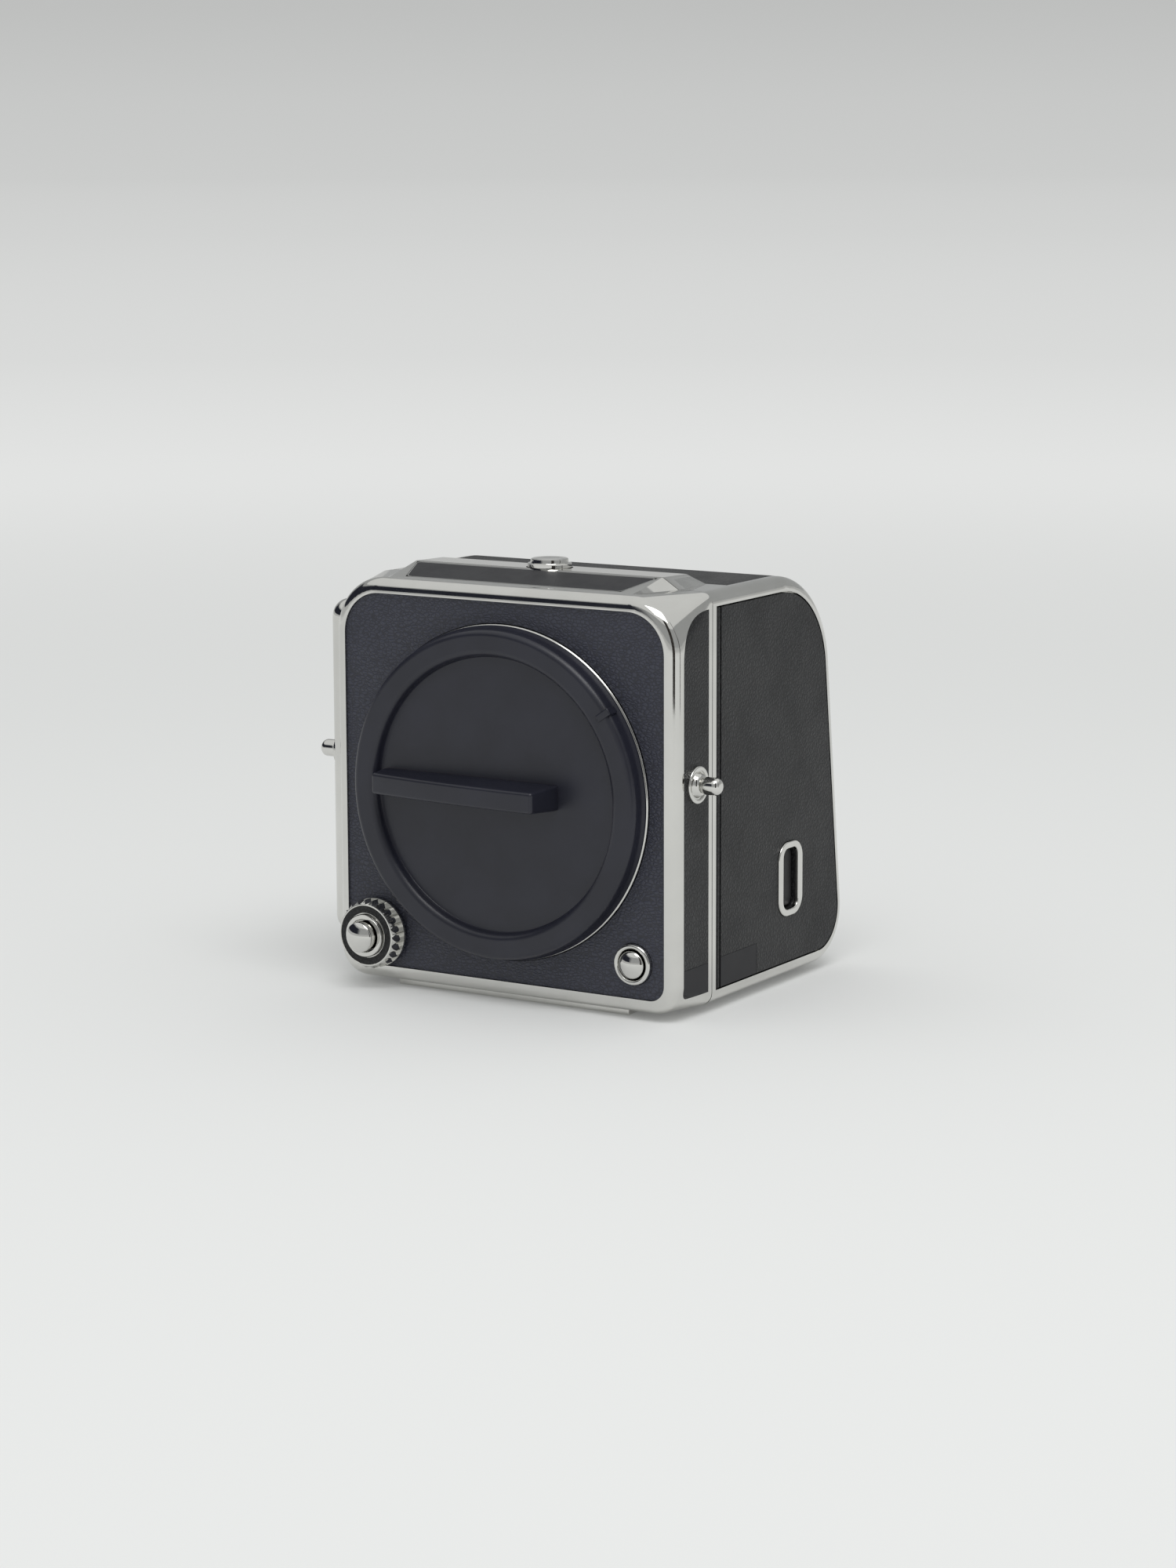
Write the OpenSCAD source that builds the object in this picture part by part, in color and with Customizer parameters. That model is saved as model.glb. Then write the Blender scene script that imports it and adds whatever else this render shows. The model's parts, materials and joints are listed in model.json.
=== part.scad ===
// Medium format digital camera: square body with its lens mount capped, and a digital back.
// Millimetres. +X is the right of the front view, -Y is the front, +Z is up.
// The origin is the mouth of the tripod thread, on the underside of the base plate.

/* [Body] */
// Width of the body frame
body_w = 86.5; // [86:0.5:88]
// Height of the body frame
body_h = 88.4; // [88:0.2:90]
// Depth of the body frame, front face to seam
body_d = 14.7; // [14.5:0.1:16]
// Rounding of the front edge
edge_r = 3; // [2.6:0.1:3.2]
// Corner radius of the frame at the top of its front
corner_top_r = 12; // [11:0.5:13]
// Corner radius of the frame at the foot of its front
corner_low_r = 6.5; // [6:0.5:8]
// How far the left rail stands out
rail_out = 4.35; // [3.8:0.05:5]
// Height of the top ridge over the frame
ridge_h = 2.4; // [2.2:0.1:2.8]
// Height of the base plate
plate_t = 1.4; // [1.2:0.1:2]
// Half width of the base plate
plate_half = 29.4; // [28:0.2:31]
// Distance from the front leather back to the tripod thread
thread_set = 8.7; // [8.5:0.1:9]
// Radius of the tripod thread
thread_r = 4.76; // [4.5:0.02:5]

/* [Front] */
// Outer radius of the lens mount flange
flange_r = 36.3; // [36:0.1:36.6]
// Outer radius of the cap
cap_r = 35.5; // [35.3:0.1:35.7]
// Height of the cap over the flange
cap_h = 4.25; // [4:0.05:5]
// Greatest height of the cap handle over the disc
handle_h = 9; // [8:0.2:10]
// Offset of dial and lens release to each side of the lens axis
control_x = 32.5; // [32.3:0.1:33]
// Depth of dial and lens release under the lens axis
control_drop = 33.6; // [33.4:0.1:34]
// Outer radius of the dial
dial_r = 7.6; // [7.2:0.1:7.6]
// Height of the dial
dial_h = 4.4; // [4:0.1:5]
// Radius of the shutter button
shutter_r = 3.3; // [3.1:0.05:3.35]
// Travel of the shutter button
shutter_travel = 1.2; // [0.8:0.1:1.4]
// Radius of the lens release button
release_r = 3; // [2.8:0.05:3.05]
// Length of the strap lug
lug_len = 6; // [5:0.2:7]

/* [Back] */
// Depth of the back at the height of the lens axis
back_d = 55.75; // [55:0.25:58]
// Lean of the rear face
rear_lean = 6.72; // [6:0.1:7.4]
// Radius of the top rear corner
top_rear_r = 23; // [22:0.5:24]
// Radius of the low rear corner
low_rear_r = 12; // [11:0.5:13]
// Wall of the back's shell
wall = 2.6; // [2.4:0.1:2.8]
// Rounding of the back's right edges
back_edge_r = 2.8; // [2.4:0.1:2.9]
// Half width of the screen
screen_half = 37; // [36:0.25:37.5]
// Half length of one key
key_half = 6; // [5:0.25:6.2]
// Radius of the back release button
top_button_r = 4.8; // [4.4:0.1:5]

/* [Hidden] */
$fn = 64;
fine = 96;
sliver = 0.01;
chrome = [0.78, 0.77, 0.74];
black = [0.12, 0.12, 0.13];
hide = [0.17, 0.17, 0.19];
green = [0.08, 0.3, 0.18];
steel = [0.6, 0.6, 0.62];
half_w = body_w / 2;
half_h = body_h / 2;
axis_z = plate_t + half_h;
top_z = plate_t + body_h;
lip = 0.5;
front_y = -thread_set;
front_face = front_y - lip;
seam_y = front_face + body_d;
leather_t = 1.2;
leather_back = front_y + leather_t;
wall_in = leather_back + 2;
leather_w = body_w - 2 * edge_r - 0.14;
leather_h = body_h - 2 * edge_r - 0.4;
leather_top_r = corner_top_r - edge_r;
leather_low_r = corner_low_r - edge_r;
cavity_w = body_w - 6.5;
cavity_h = body_h - 6.4;
cavity_r = 8;
base_z = axis_z - cavity_h / 2 + 1;
side_in = half_w - 1.2;
strip_half = half_h - 3.4;
bush_r = thread_r + 0.45;
strip_y0 = front_face + edge_r;
strip_y1 = seam_y - 1.4;
badge_h = 6.3;
lug_y = (strip_y0 + strip_y1) / 2;
lug_z = axis_z + 4.5;
cap_lip = 0.6;
lug_disc_r = 4;
lug_r = 1.9;
lug_sink = 1.5;
rail_r = 4;
rail_set = 5.8;
seam_left_r = 6;
seam_right_r = 2.5;
seam_low_r = 3;
ridge_half = 31.9;
ridge_foot = 35;
ridge_r = 1;
rail_x = -half_w - rail_out;
rail_low = axis_z - 36;
rail_top = axis_z + 38.4;
slope = atan((ridge_h + 0.1) / (seam_y - strip_y0));
flange_y = front_y - 0.6;
cap_y = flange_y - 0.15;
throat_r = 30.5;
control_z = axis_z - control_drop;
dial_y0 = front_face - 0.2;
dial_y1 = dial_y0 - dial_h;
collar_y = dial_y1 - 0.95;
shutter_seat = collar_y + 1.6 + shutter_travel;
ring_in = 4.95;
ring_out = 6.5;
ring_t = 0.6;
dial_bevel = 1.3;
dial_face_r = dial_r - 0.7;
post_r = 4.2;
post_foot_r = 5.4;
release_foot_r = 4.2;
bezel_r = 4.45;
bezel_gap = 0.05;
foot_gap = 0.2;
pin_set = 33.4;
pin_angle = -46;
pin_x = pin_set * cos(pin_angle);
pin_z = axis_z + pin_set * sin(pin_angle);
release_z = control_z;
back_y = seam_y + 0.2;
rear_y = back_y + back_d;
top_c_z = top_z - top_rear_r;
top_c_y = rear_y - (top_c_z - axis_z) * tan(rear_lean) - top_rear_r / cos(rear_lean);
low_c_z = plate_t + low_rear_r;
low_c_y = rear_y - (low_c_z - axis_z) * tan(rear_lean) - low_rear_r / cos(rear_lean);
rear_wall = 5.5;
left_edge_r = 6;
cave_x = half_w - wall;
skin = 0.6;
door_in = 3.4;
nose_r = 0.9;
door_y = back_y + 1.85;
hinge_x = half_w - nose_r;
hinge_y = door_y + nose_r;
plate_x0 = half_w - 2.25;
plate_x1 = half_w - skin;
win_y = back_y + 34;
win_z = plate_t + 21.85;
chassis_y = back_y + 17.6;
chassis_t = 2;
card_z = [axis_z + 9.8, axis_z + 15.8];
port_x = cave_x - 2.25;
screen_low = -22;
screen_r = 2.5;
screen_z = 21.1;
key_z = -27;
key_flange = 0.9;
key_gap = 3.2;
board_half = cave_x - 1.05;
key_pitch = 2 * key_half + key_gap;
base_screw_x = [cave_x - 28.65, cave_x - 6.65];
button_y = back_y + 4.8;

// Round bars along the three axes
module rod_y(x, z, y0, y1, r) { translate([x, y0, z]) rotate([-90, 0, 0]) cylinder(h = y1 - y0, r = r); }
module rod_x(y, z, x0, x1, r) { translate([x0, y, z]) rotate([0, 90, 0]) cylinder(h = x1 - x0, r = r); }
module rod_z(x, y, z0, z1, r) { translate([x, y, z0]) cylinder(h = z1 - z0, r = r); }
// Box from its low corner to its high corner
module box(a, b) { translate(a) cube(b - a); }
// Ring about the lens axis from an outline of radius and height, height towards the front
module turned(y) { translate([0, y, axis_z]) rotate([90, 0, 0]) rotate_extrude($fn = 128) children(); }
// Local frame of the rear face: X across, Y out of the face, Z up the face
module at_rear() { translate([0, rear_y, axis_z]) rotate([rear_lean, 0, 0]) children(); }
// Local frame of the sloping top of the body, its origin on the ridge
module at_ridge() { translate([0, seam_y, top_z + ridge_h]) rotate([slope, 0, 0]) children(); }
// Rounded slab about the lens axis
module slab_y(y0, y1, w, h, rt, rb) {
  hull() for (s = [-1, 1]) {
    rod_y(s * (w / 2 - rt), axis_z + h / 2 - rt, y0, y1, rt);
    rod_y(s * (w / 2 - rb), axis_z - h / 2 + rb, y0, y1, rb);
  }
}
// Disc across the lens axis from depth y towards the rear, its front edge rounded by e
module soft_disc_y(x, z, y, r, e) {
  translate([x, y, z]) rotate([-90, 0, 0]) rotate_extrude($fn = fine)
    polygon(concat([[0, e], [0, 0]], [for (t = [0 : 10 : 90]) [r - e * (1 - sin(t)), e * (1 - cos(t))]]));
}
// Body frame outside: rounded front edge, corners that open out towards the seam
module body_form() {
  $fn = fine;
  hull() {
    for (s = [-1, 1]) {
      soft_disc_y(s * (half_w - corner_top_r), top_z - corner_top_r, front_face, corner_top_r, edge_r);
      soft_disc_y(s * (half_w - corner_low_r), plate_t + corner_low_r, front_face, corner_low_r, edge_r);
      rod_y(s * (half_w - seam_low_r), plate_t + seam_low_r, seam_y - 1, seam_y, seam_low_r);
    }
    rod_y(-half_w + seam_left_r, top_z - seam_left_r, seam_y - 1, seam_y, seam_left_r);
    rod_y(half_w - seam_right_r, top_z - seam_right_r, seam_y - 1, seam_y, seam_right_r);
  }
}
module rail_form() {
  $fn = fine;
  y0 = strip_y0 + 0.2;
  hull() for (z = [rail_low + rail_r, rail_top - rail_r]) {
    soft_disc_y(rail_x + rail_r, z, y0, rail_r, rail_r);
    rod_y(rail_x + rail_r, z, seam_y - 1, seam_y, rail_r);
  }
}
module ridge_form() {
  hull() {
    box([-30.5, strip_y0, top_z - 0.6], [30.5, strip_y0 + sliver, top_z - 0.1]);
    box([-ridge_foot, seam_y - sliver, top_z - 0.6], [ridge_foot, seam_y, top_z]);
    for (s = [-1, 1])
      rod_y(s * (ridge_half - ridge_r), top_z + ridge_h - ridge_r, seam_y - sliver, seam_y, ridge_r);
  }
}
// Outline of the right side strip, between two X
module strip_form(x0, x1) {
  intersection() {
    hull() {
      rod_x(strip_y0 + 10, axis_z + strip_half - 10, x0, x1, 10);
      rod_x(strip_y0 + 2, axis_z - strip_half + 2, x0, x1, 2);
      box([x0, strip_y1 - 1, axis_z - strip_half], [x1, strip_y1, axis_z + strip_half]);
    }
    box([x0, strip_y0, plate_t], [x1, strip_y1, top_z]);
  }
}
// Outline of the inset plate in the frame of the sloping top
module plate_outline(g) {
  polygon([[-27 - g, -10.4 - g], [27 + g, -10.4 - g], [30.4 + g, -0.8 + g], [-30.4 - g, -0.8 + g]]);
}
// Casing of the body before its base is parted from it
module casing_form() {
  difference() {
    union() { body_form(); rail_form(); ridge_form(); }
    slab_y(front_face - 1, leather_back, leather_w, leather_h, leather_top_r, leather_low_r);
    slab_y(leather_back, seam_y + 1, cavity_w, cavity_h, cavity_r, cavity_r);
    strip_form(side_in, half_w + 5);
    box([rail_x - 1, strip_y0 + 4.4, rail_low + 7], [rail_x + skin, seam_y - 0.8, rail_top - 7]);
    rod_y(0, axis_z, front_face - 1, leather_back, flange_r + 0.1);
    rod_y(control_x, release_z, front_face - 1, leather_back, bezel_r + bezel_gap);
    rod_y(-control_x, control_z, wall_in, seam_y + 1, post_foot_r + foot_gap);
    rod_y(control_x, release_z, wall_in, seam_y + 1, release_foot_r + foot_gap);
    rod_x(lug_y, lug_z, half_w - 4, half_w + 1, 1.3);
    rod_x(lug_y, lug_z, rail_x - 1, rail_x + lug_sink, lug_disc_r + 0.3);
    rod_x(lug_y, lug_z, rail_x, rail_x + lug_sink + 3, 1.3);
    rod_z(0, 0, plate_t - 1, plate_t + 6, bush_r + 0.05);
    for (x = [-22, 22]) for (y = [-2.6, 2.6]) rod_z(x, y, plate_t - 1, plate_t + 5, 1.1);
    at_ridge() translate([0, 0, -0.8]) linear_extrude(4) plate_outline(0.1);
  }
}
// Everything below the level where the base meets the frame
module base_zone() {
  box([rail_x - 1, front_face - 1, plate_t - 1], [half_w + 1, seam_y + 1, base_z]);
}
module body_frame() { color(chrome) difference() { casing_form(); base_zone(); } }
module body_base() { color(chrome) intersection() { casing_form(); base_zone(); } }
// Plate behind the front leather, which carries the lens mount and the front controls
module mount_wall() {
  color(black) difference() {
    slab_y(leather_back, wall_in, cavity_w, cavity_h, cavity_r, cavity_r);
    rod_y(0, axis_z, leather_back - 1, wall_in + 1, 32.2);
    rod_y(pin_x, pin_z, leather_back - 1, wall_in + 1, 1.3);
    rod_y(-control_x, control_z, leather_back - 1, wall_in + 1, post_r + 0.05);
    rod_y(control_x, release_z, leather_back - 1, wall_in + 1, release_r + 0.3);
  }
}
module front_leather() {
  color(hide) difference() {
    slab_y(front_y, leather_back, leather_w, leather_h, leather_top_r, leather_low_r);
    rod_y(0, axis_z, front_y - 1, leather_back + 1, flange_r + 0.1);
    rod_y(-control_x, control_z, front_y - 1, leather_back + 1, post_r + 0.05);
    rod_y(control_x, release_z, front_y - 1, leather_back + 1, bezel_r + bezel_gap);
  }
}
module side_leather_right() {
  color(hide) difference() {
    intersection() { strip_form(side_in, half_w + 5); body_form(); }
    box([0, -40, 0], [60, 40, axis_z - strip_half + badge_h]);
    rod_x(lug_y, lug_z, half_w - 4, half_w + 1, 1.3);
  }
}
module body_badge() {
  color(black) intersection() {
    strip_form(side_in, half_w + 5);
    body_form();
    box([0, -40, 0], [60, 40, axis_z - strip_half + badge_h]);
  }
}
module side_leather_left() {
  color(hide) difference() {
    box([rail_x, strip_y0 + 4.4, rail_low + 7], [rail_x + skin, seam_y - 0.8, rail_top - 7]);
    rod_x(lug_y, lug_z, rail_x - 1, rail_x + 3, lug_disc_r + 0.3);
  }
}
module mount_flange() {
  color(chrome) difference() {
    union() {
      turned(wall_in + 0.8) polygon([[throat_r, 0], [32.1, 0], [32.1, 2.8], [flange_r, 2.8],
        [flange_r, 4.3], [flange_r - 0.3, 4.6], [throat_r, 4.6]]);
      for (a = [20, 140, 260]) translate([0, flange_y + 0.4, axis_z]) rotate([-90, a, 0])
        rotate_extrude(angle = 50) translate([28.75, 0]) square([throat_r + 0.1 - 28.75, 1.6]);
    }
    rod_y(pin_x, pin_z, flange_y - 1, wall_in + 2, 1.3);
    for (a = [20, 110, 200, 290]) translate([pin_set * cos(a), 0, pin_set * sin(a)]) {
      rod_y(0, axis_z, flange_y - 1, flange_y + 0.8, 1.5);
      rod_y(0, axis_z, flange_y, wall_in + 2, 0.8);
    }
  }
}
module flange_screws() {
  color(steel) for (a = [20, 110, 200, 290])
    translate([pin_set * cos(a), 0, pin_set * sin(a)]) difference() {
    union() {
      rod_y(0, axis_z, flange_y, flange_y + 0.8, 1.45);
      rod_y(0, axis_z, flange_y, leather_back, 0.75);
    }
    box([-1, flange_y - 1, axis_z - 0.2], [1, flange_y + 0.35, axis_z + 0.2]);
  }
}
module throat_baffle() {
  color(black) difference() {
    box([-25, seam_y - 8.6, axis_z - 20], [25, seam_y - 2, axis_z + 20]);
    box([-23.8, seam_y - 9, axis_z - 18.8], [23.8, seam_y, axis_z + 18.8]);
  }
}
module rear_flange() {
  color(black) difference() {
    union() {
      slab_y(seam_y - 2, seam_y, cavity_w - 0.1, cavity_h - 0.1, cavity_r, cavity_r);
      box([-30, seam_y - 1, axis_z - 24], [30, seam_y + 1.2, axis_z + 24]);
    }
    box([-28, seam_y, axis_z - 22], [28, seam_y + 2, axis_z + 22]);
    box([-23.5, seam_y - 4, axis_z - 18.5], [23.5, seam_y + 2, axis_z + 18.5]);
    rod_z(0, 0, 0, plate_t + 6, bush_r + 0.3);
  }
}
module body_board() {
  color(green) box([-cavity_w / 2 + 6, seam_y - 3.2, axis_z + 24],
    [cavity_w / 2 - 6, seam_y - 2, axis_z + cavity_h / 2 - 3]);
}
module name_plate() {
  color(black) at_ridge() translate([0, 0, -0.8]) linear_extrude(0.8) plate_outline(0);
}
module tripod_plate() {
  color(steel) difference() {
    box([-plate_half, strip_y0 + 0.7, 0], [plate_half, seam_y - 0.1, plate_t]);
    rod_z(0, 0, -1, plate_t + 1, bush_r + 0.05);
    for (x = [-22, 22]) for (y = [-2.6, 2.6]) {
      rod_z(x, y, -1, 0.8, 2);
      rod_z(x, y, 0, plate_t + 1, 1.1);
    }
  }
}
module tripod_bush() {
  color(steel) difference() {
    rod_z(0, 0, 0, plate_t + 5, bush_r);
    rod_z(0, 0, -1, plate_t + 4, thread_r);
  }
}
module plate_screws() {
  color(steel) for (x = [-22, 22]) for (y = [-2.6, 2.6]) difference() {
    union() {
      rod_z(x, y, 0, 0.8, 1.95);
      rod_z(x, y, 0.4, plate_t + 3, 1.05);
    }
    box([x - 1.4, y - 0.25, -1], [x + 1.4, y + 0.25, 0.4]);
  }
}
// One strap lug pointing along +X from X = 0, with a waisted post and a round head
module lug() {
  rotate([0, 90, 0]) rotate_extrude() polygon([[0, -2], [1.25, -2], [1.25, 1.75], [1.6, 2],
    [lug_r, 2.8], [lug_r, lug_len - 1.4], [lug_r - 0.4, lug_len - 0.4], [lug_r - 1.4, lug_len],
    [0, lug_len]]);
}
module strap_lugs() {
  color(chrome) {
    translate([half_w, lug_y, lug_z]) lug();
    translate([rail_x + lug_sink, lug_y, lug_z]) mirror([1, 0, 0]) lug();
  }
}
module lug_disc() {
  rotate([0, 90, 0]) rotate_extrude() polygon([[1.3, 0], [lug_disc_r, 0], [lug_disc_r, 0.5],
    [lug_disc_r - 0.3, 0.8], [2.8, 0.8],
    [2.3, 1.4], [1.3, 1.4]]);
}
module lug_plates() {
  color(chrome) {
    translate([half_w, lug_y, lug_z]) lug_disc();
    translate([rail_x + lug_sink, lug_y, lug_z]) mirror([1, 0, 0]) lug_disc();
  }
}
module dial_post() {
  color(chrome) difference() {
    union() {
      rod_y(-control_x, control_z, collar_y, wall_in + 1, post_r);
      rod_y(-control_x, control_z, collar_y, dial_y1 - 0.15, 4.7);
      rod_y(-control_x, control_z, wall_in, wall_in + 1, post_foot_r);
    }
    rod_y(-control_x, control_z, collar_y - 1, shutter_seat, shutter_r + 0.3);
    rod_y(-control_x, control_z, collar_y, wall_in + 2, 1.56);
  }
}
module control_dial() {
  color(chrome) difference() {
    translate([-control_x, dial_y0, control_z]) rotate([90, 0, 0]) rotate_extrude()
      polygon([[post_r + 0.05, 0], [dial_r, 0], [dial_r, dial_h - dial_bevel], [dial_face_r, dial_h],
        [ring_out, dial_h], [ring_out, dial_h - ring_t], [ring_in, dial_h - ring_t],
        [ring_in, dial_h], [post_r + 0.05, dial_h]]);
    for (a = [0 : 15 : 345])
      translate([(dial_r + 0.25) * cos(a), 0, (dial_r + 0.25) * sin(a)])
        rod_y(-control_x, control_z, dial_y1 - 1, dial_y0 - 0.7, 0.7);
  }
}
module dial_ring() {
  color(hide) difference() {
    rod_y(-control_x, control_z, dial_y1 + 0.1, dial_y1 + ring_t, ring_out);
    rod_y(-control_x, control_z, dial_y1, dial_y1 + 1, ring_in);
  }
}
module shutter_button() {
  color(chrome) translate([-control_x, collar_y + 1.3, control_z]) rotate([90, 0, 0]) rotate_extrude()
    polygon([[0, -7.4], [1.5, -7.4], [1.5, 0], [shutter_r, 0], [shutter_r, 3], [shutter_r - 0.3, 3.5],
      [shutter_r - 1, 3.9], [shutter_r - 2, 4.15], [0, 4.3]]);
}
module shutter_spring() {
  color(steel) difference() {
    rod_y(-control_x, control_z, collar_y + 1.3, shutter_seat, 2.6);
    rod_y(-control_x, control_z, collar_y, collar_y + 4, 2.1);
  }
}
module release_bezel() {
  color(chrome) translate([control_x, leather_back, release_z]) rotate([90, 0, 0]) rotate_extrude()
    polygon([[release_r + 0.3, 0], [bezel_r, 0], [bezel_r, 1.3], [bezel_r - 0.55, 2.2],
      [release_r + 0.5, 2.3], [release_r + 0.3, 2]]);
}
module release_button() {
  color(chrome) translate([control_x, wall_in, release_z]) rotate([90, 0, 0]) rotate_extrude()
    polygon([[0, -0.8], [release_foot_r, -0.8], [release_foot_r, -0.1], [release_r, -0.1], [release_r, 4.3],
      [release_r - 0.3, 4.8], [release_r - 1, 5.25], [release_r - 2, 5.5], [0, 5.6]]);
}
module lock_pin() {
  color(steel) {
    rod_y(pin_x, pin_z, flange_y - 0.8, wall_in + 0.9, 1);
    hull() {
      rod_y(pin_x, pin_z, wall_in + 0.8, wall_in + 1.6, 2.5);
      rod_y(control_x, release_z, wall_in + 0.8, wall_in + 1.6, 3);
    }
  }
}
module release_spring() {
  color(steel) difference() {
    rod_y(control_x, release_z, wall_in + 1.6, seam_y - 2, 2.3);
    rod_y(control_x, release_z, wall_in + 1, seam_y, 1.6);
  }
}
module body_cap() {
  color(black) {
    turned(cap_y) polygon([[0, 0.5], [26.7, 0.5], [26.7, -3.85], [28.2, -3.85], [28.2, 0], [31.8, 0],
      [31.8, 1], [34.9, 1], [34.9, 0], [cap_r + cap_lip, 0], [cap_r + cap_lip, 0.4], [cap_r, 0.8],
      [cap_r, cap_h - 1.4], [cap_r - 0.2, cap_h - 0.75],
      [cap_r - 0.7, cap_h - 0.25], [cap_r - 1.5, cap_h], [31.3, cap_h], [30.5, cap_h - 0.2],
      [30, cap_h - 0.8], [29.8, cap_h - 1.5], [29.7, cap_h - 2.2], [0, cap_h - 2.2]]);
    for (a = [25, 145, 265]) translate([0, cap_y + 2.65, axis_z]) rotate([-90, a, 0])
      rotate_extrude(angle = 40) translate([27.4, 0]) square([2.7, 1]);
    cap_handle();
    translate([0, 0, axis_z]) rotate([0, -35, 0])
      box([32.5, cap_y - cap_h - 0.25, -0.8], [cap_r + 0.6, cap_y - 1.2, 0.8]);
  }
}
// Handle bar over the left rim, low at its left end and high at its right
module cap_handle() {
  y0 = cap_y - cap_h + 2.2;
  hull() {
    box([-29, y0 + 0.3, axis_z - 1.6], [15.9, y0 + 0.7, axis_z + 3.4]);
    for (p = [[-28.2, 5], [-14, handle_h - 1.9], [0, handle_h - 0.6], [14.6, handle_h]])
      for (s = [-1.45, 1.45])
        translate([p[0], y0 - p[1] + 0.6, axis_z + 0.9 + s]) sphere(r = 0.6, $fn = 16);
  }
}
// Side outline of the back between two X, inset by e, starting at depth y
module side_form(x0, x1, e, y) {
  hull() {
    rod_x(top_c_y, top_c_z, x0, x1, top_rear_r - e, $fn = 96);
    rod_x(low_c_y, low_c_z, x0, x1, low_rear_r - e, $fn = 96);
    box([x0, y, plate_t + e], [x1, y + sliver, top_z - e]);
  }
}
// Disc across the width of the back, its left edge rounded by e0 and its right edge by e1
module soft_disc_x(y, z, r, e0, e1) {
  translate([0, y, z]) rotate([0, 90, 0]) rotate_extrude($fn = 96)
    polygon(concat([[0, half_w], [0, -half_w]],
      [for (t = [0 : 15 : 90]) [r - e0 * (1 - sin(t)), -half_w + e0 * (1 - cos(t))]],
      [for (t = [90 : -15 : 0]) [r - e1 * (1 - sin(t)), half_w - e1 * (1 - cos(t))]]));
}
module back_form() {
  hull() {
    soft_disc_x(top_c_y, top_c_z, top_rear_r, left_edge_r, back_edge_r);
    soft_disc_x(low_c_y, low_c_z, low_rear_r, left_edge_r, back_edge_r);
    for (z = [plate_t + back_edge_r, top_z - back_edge_r])
      rod_y(half_w - back_edge_r, z, back_y, back_y + 1, back_edge_r, $fn = 24);
    for (z = [plate_t + left_edge_r, top_z - left_edge_r])
      rod_y(-half_w + left_edge_r, z, back_y, back_y + 1, left_edge_r, $fn = 24);
  }
}
// Outer edge of the rail at angle t, as a distance from its side and from its end
function rail_edge(t) = [rail_x + (rail_out + 1) * (1 - cos(t)), rail_r * (1 - sin(t))];
module rail_disc(y, z, r) {
  translate([0, y, z]) rotate([0, 90, 0]) rotate_extrude($fn = 96)
    polygon(concat([[0, rail_edge(90)[0]], [0, rail_edge(0)[0]]],
      [for (t = [0 : 15 : 90]) [r - rail_edge(t)[1], rail_edge(t)[0]]]));
}
module back_rail() {
  hull() {
    rail_disc(top_c_y, top_c_z, top_rear_r - rail_set);
    rail_disc(low_c_y, low_c_z, low_rear_r - rail_set);
    translate([0, back_y + 1, 0]) rotate([90, 0, 0]) linear_extrude(1) polygon(concat(
      [for (t = [0 : 15 : 90]) [rail_edge(t)[0], rail_low + rail_edge(t)[1]]],
      [for (t = [90 : -15 : 0]) [rail_edge(t)[0], rail_top - rail_edge(t)[1]]]));
  }
}
module back_ridge() {
  hull() {
    box([-ridge_foot, back_y, top_z - 0.6], [ridge_foot, back_y + 11.4, top_z]);
    for (s = [-1, 1]) {
      rod_y(s * (ridge_half - ridge_r), top_z + ridge_h - ridge_r, back_y, back_y + sliver, ridge_r);
      rod_y(s * (ridge_half - ridge_r), top_z + ridge_h - 0.3 - ridge_r, back_y, back_y + 9.8, ridge_r);
    }
  }
}
module back_cave() {
  hull() {
    rod_x(top_c_y, top_c_z, -cave_x, cave_x, top_rear_r - rear_wall);
    rod_x(low_c_y, low_c_z, -cave_x, cave_x, low_rear_r - rear_wall);
    box([-cave_x, back_y - 1, plate_t + wall], [cave_x, top_c_y - 4, top_z - wall]);
  }
}
// Leather over the top and down the rear shoulder, raised by o where it cuts its seat
module top_skin(o) {
  box([-half_w + 6.25, back_y + 11.8, top_z - skin], [half_w - 3.4, top_c_y, top_z + o]);
  intersection() {
    difference() {
      rod_x(top_c_y, top_c_z, -half_w + 6.25, half_w - 3.4, top_rear_r + o);
      rod_x(top_c_y, top_c_z, -half_w, half_w, top_rear_r - skin);
    }
    box([-half_w, top_c_y, top_c_z + 12], [half_w, top_c_y + top_rear_r + 7, top_z + 2]);
  }
}
module left_skin(o) {
  box([rail_x - o, back_y + 1.5, rail_low + 8], [rail_x + skin, top_c_y + 8, rail_top - 12]);
}
module back_frame() {
  color(chrome) difference() {
    union() { back_form(); back_rail(); back_ridge(); }
    back_cave();
    side_form(cave_x - 1, half_w + 1, door_in - 0.3, back_y + 1.55);
    top_skin(1);
    left_skin(1);
    rod_z(hinge_x, hinge_y, plate_t + door_in - 1.3, top_z - door_in + 1.3, 0.5);
    at_rear() box([-screen_half - 0.5, -8, screen_low - 0.4], [screen_half + 0.5, 2, 24]);
    at_rear() rod_x(-screen_r, screen_z, -screen_half - 3, screen_half + 3, 1.06);
    at_rear() for (i = [-2 : 2]) translate([i * key_pitch, 0, key_z])
      box([-key_half - 0.3, -8, -2.6], [key_half + 0.3, 2, 2.6]);
    rod_z(0, button_y, top_z - 0.1, top_z + 4, top_button_r + 0.3);
    rod_z(0, button_y, top_z - 5, top_z + 4, 2.3);
    for (x = base_screw_x) for (s = [-1, 1]) {
      rod_z(s * x, chassis_y + 1, plate_t - 1, plate_t + 1, 1.8);
      rod_z(s * x, chassis_y + 1, plate_t, plate_t + 4, 0.8);
    }
  }
}
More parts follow.
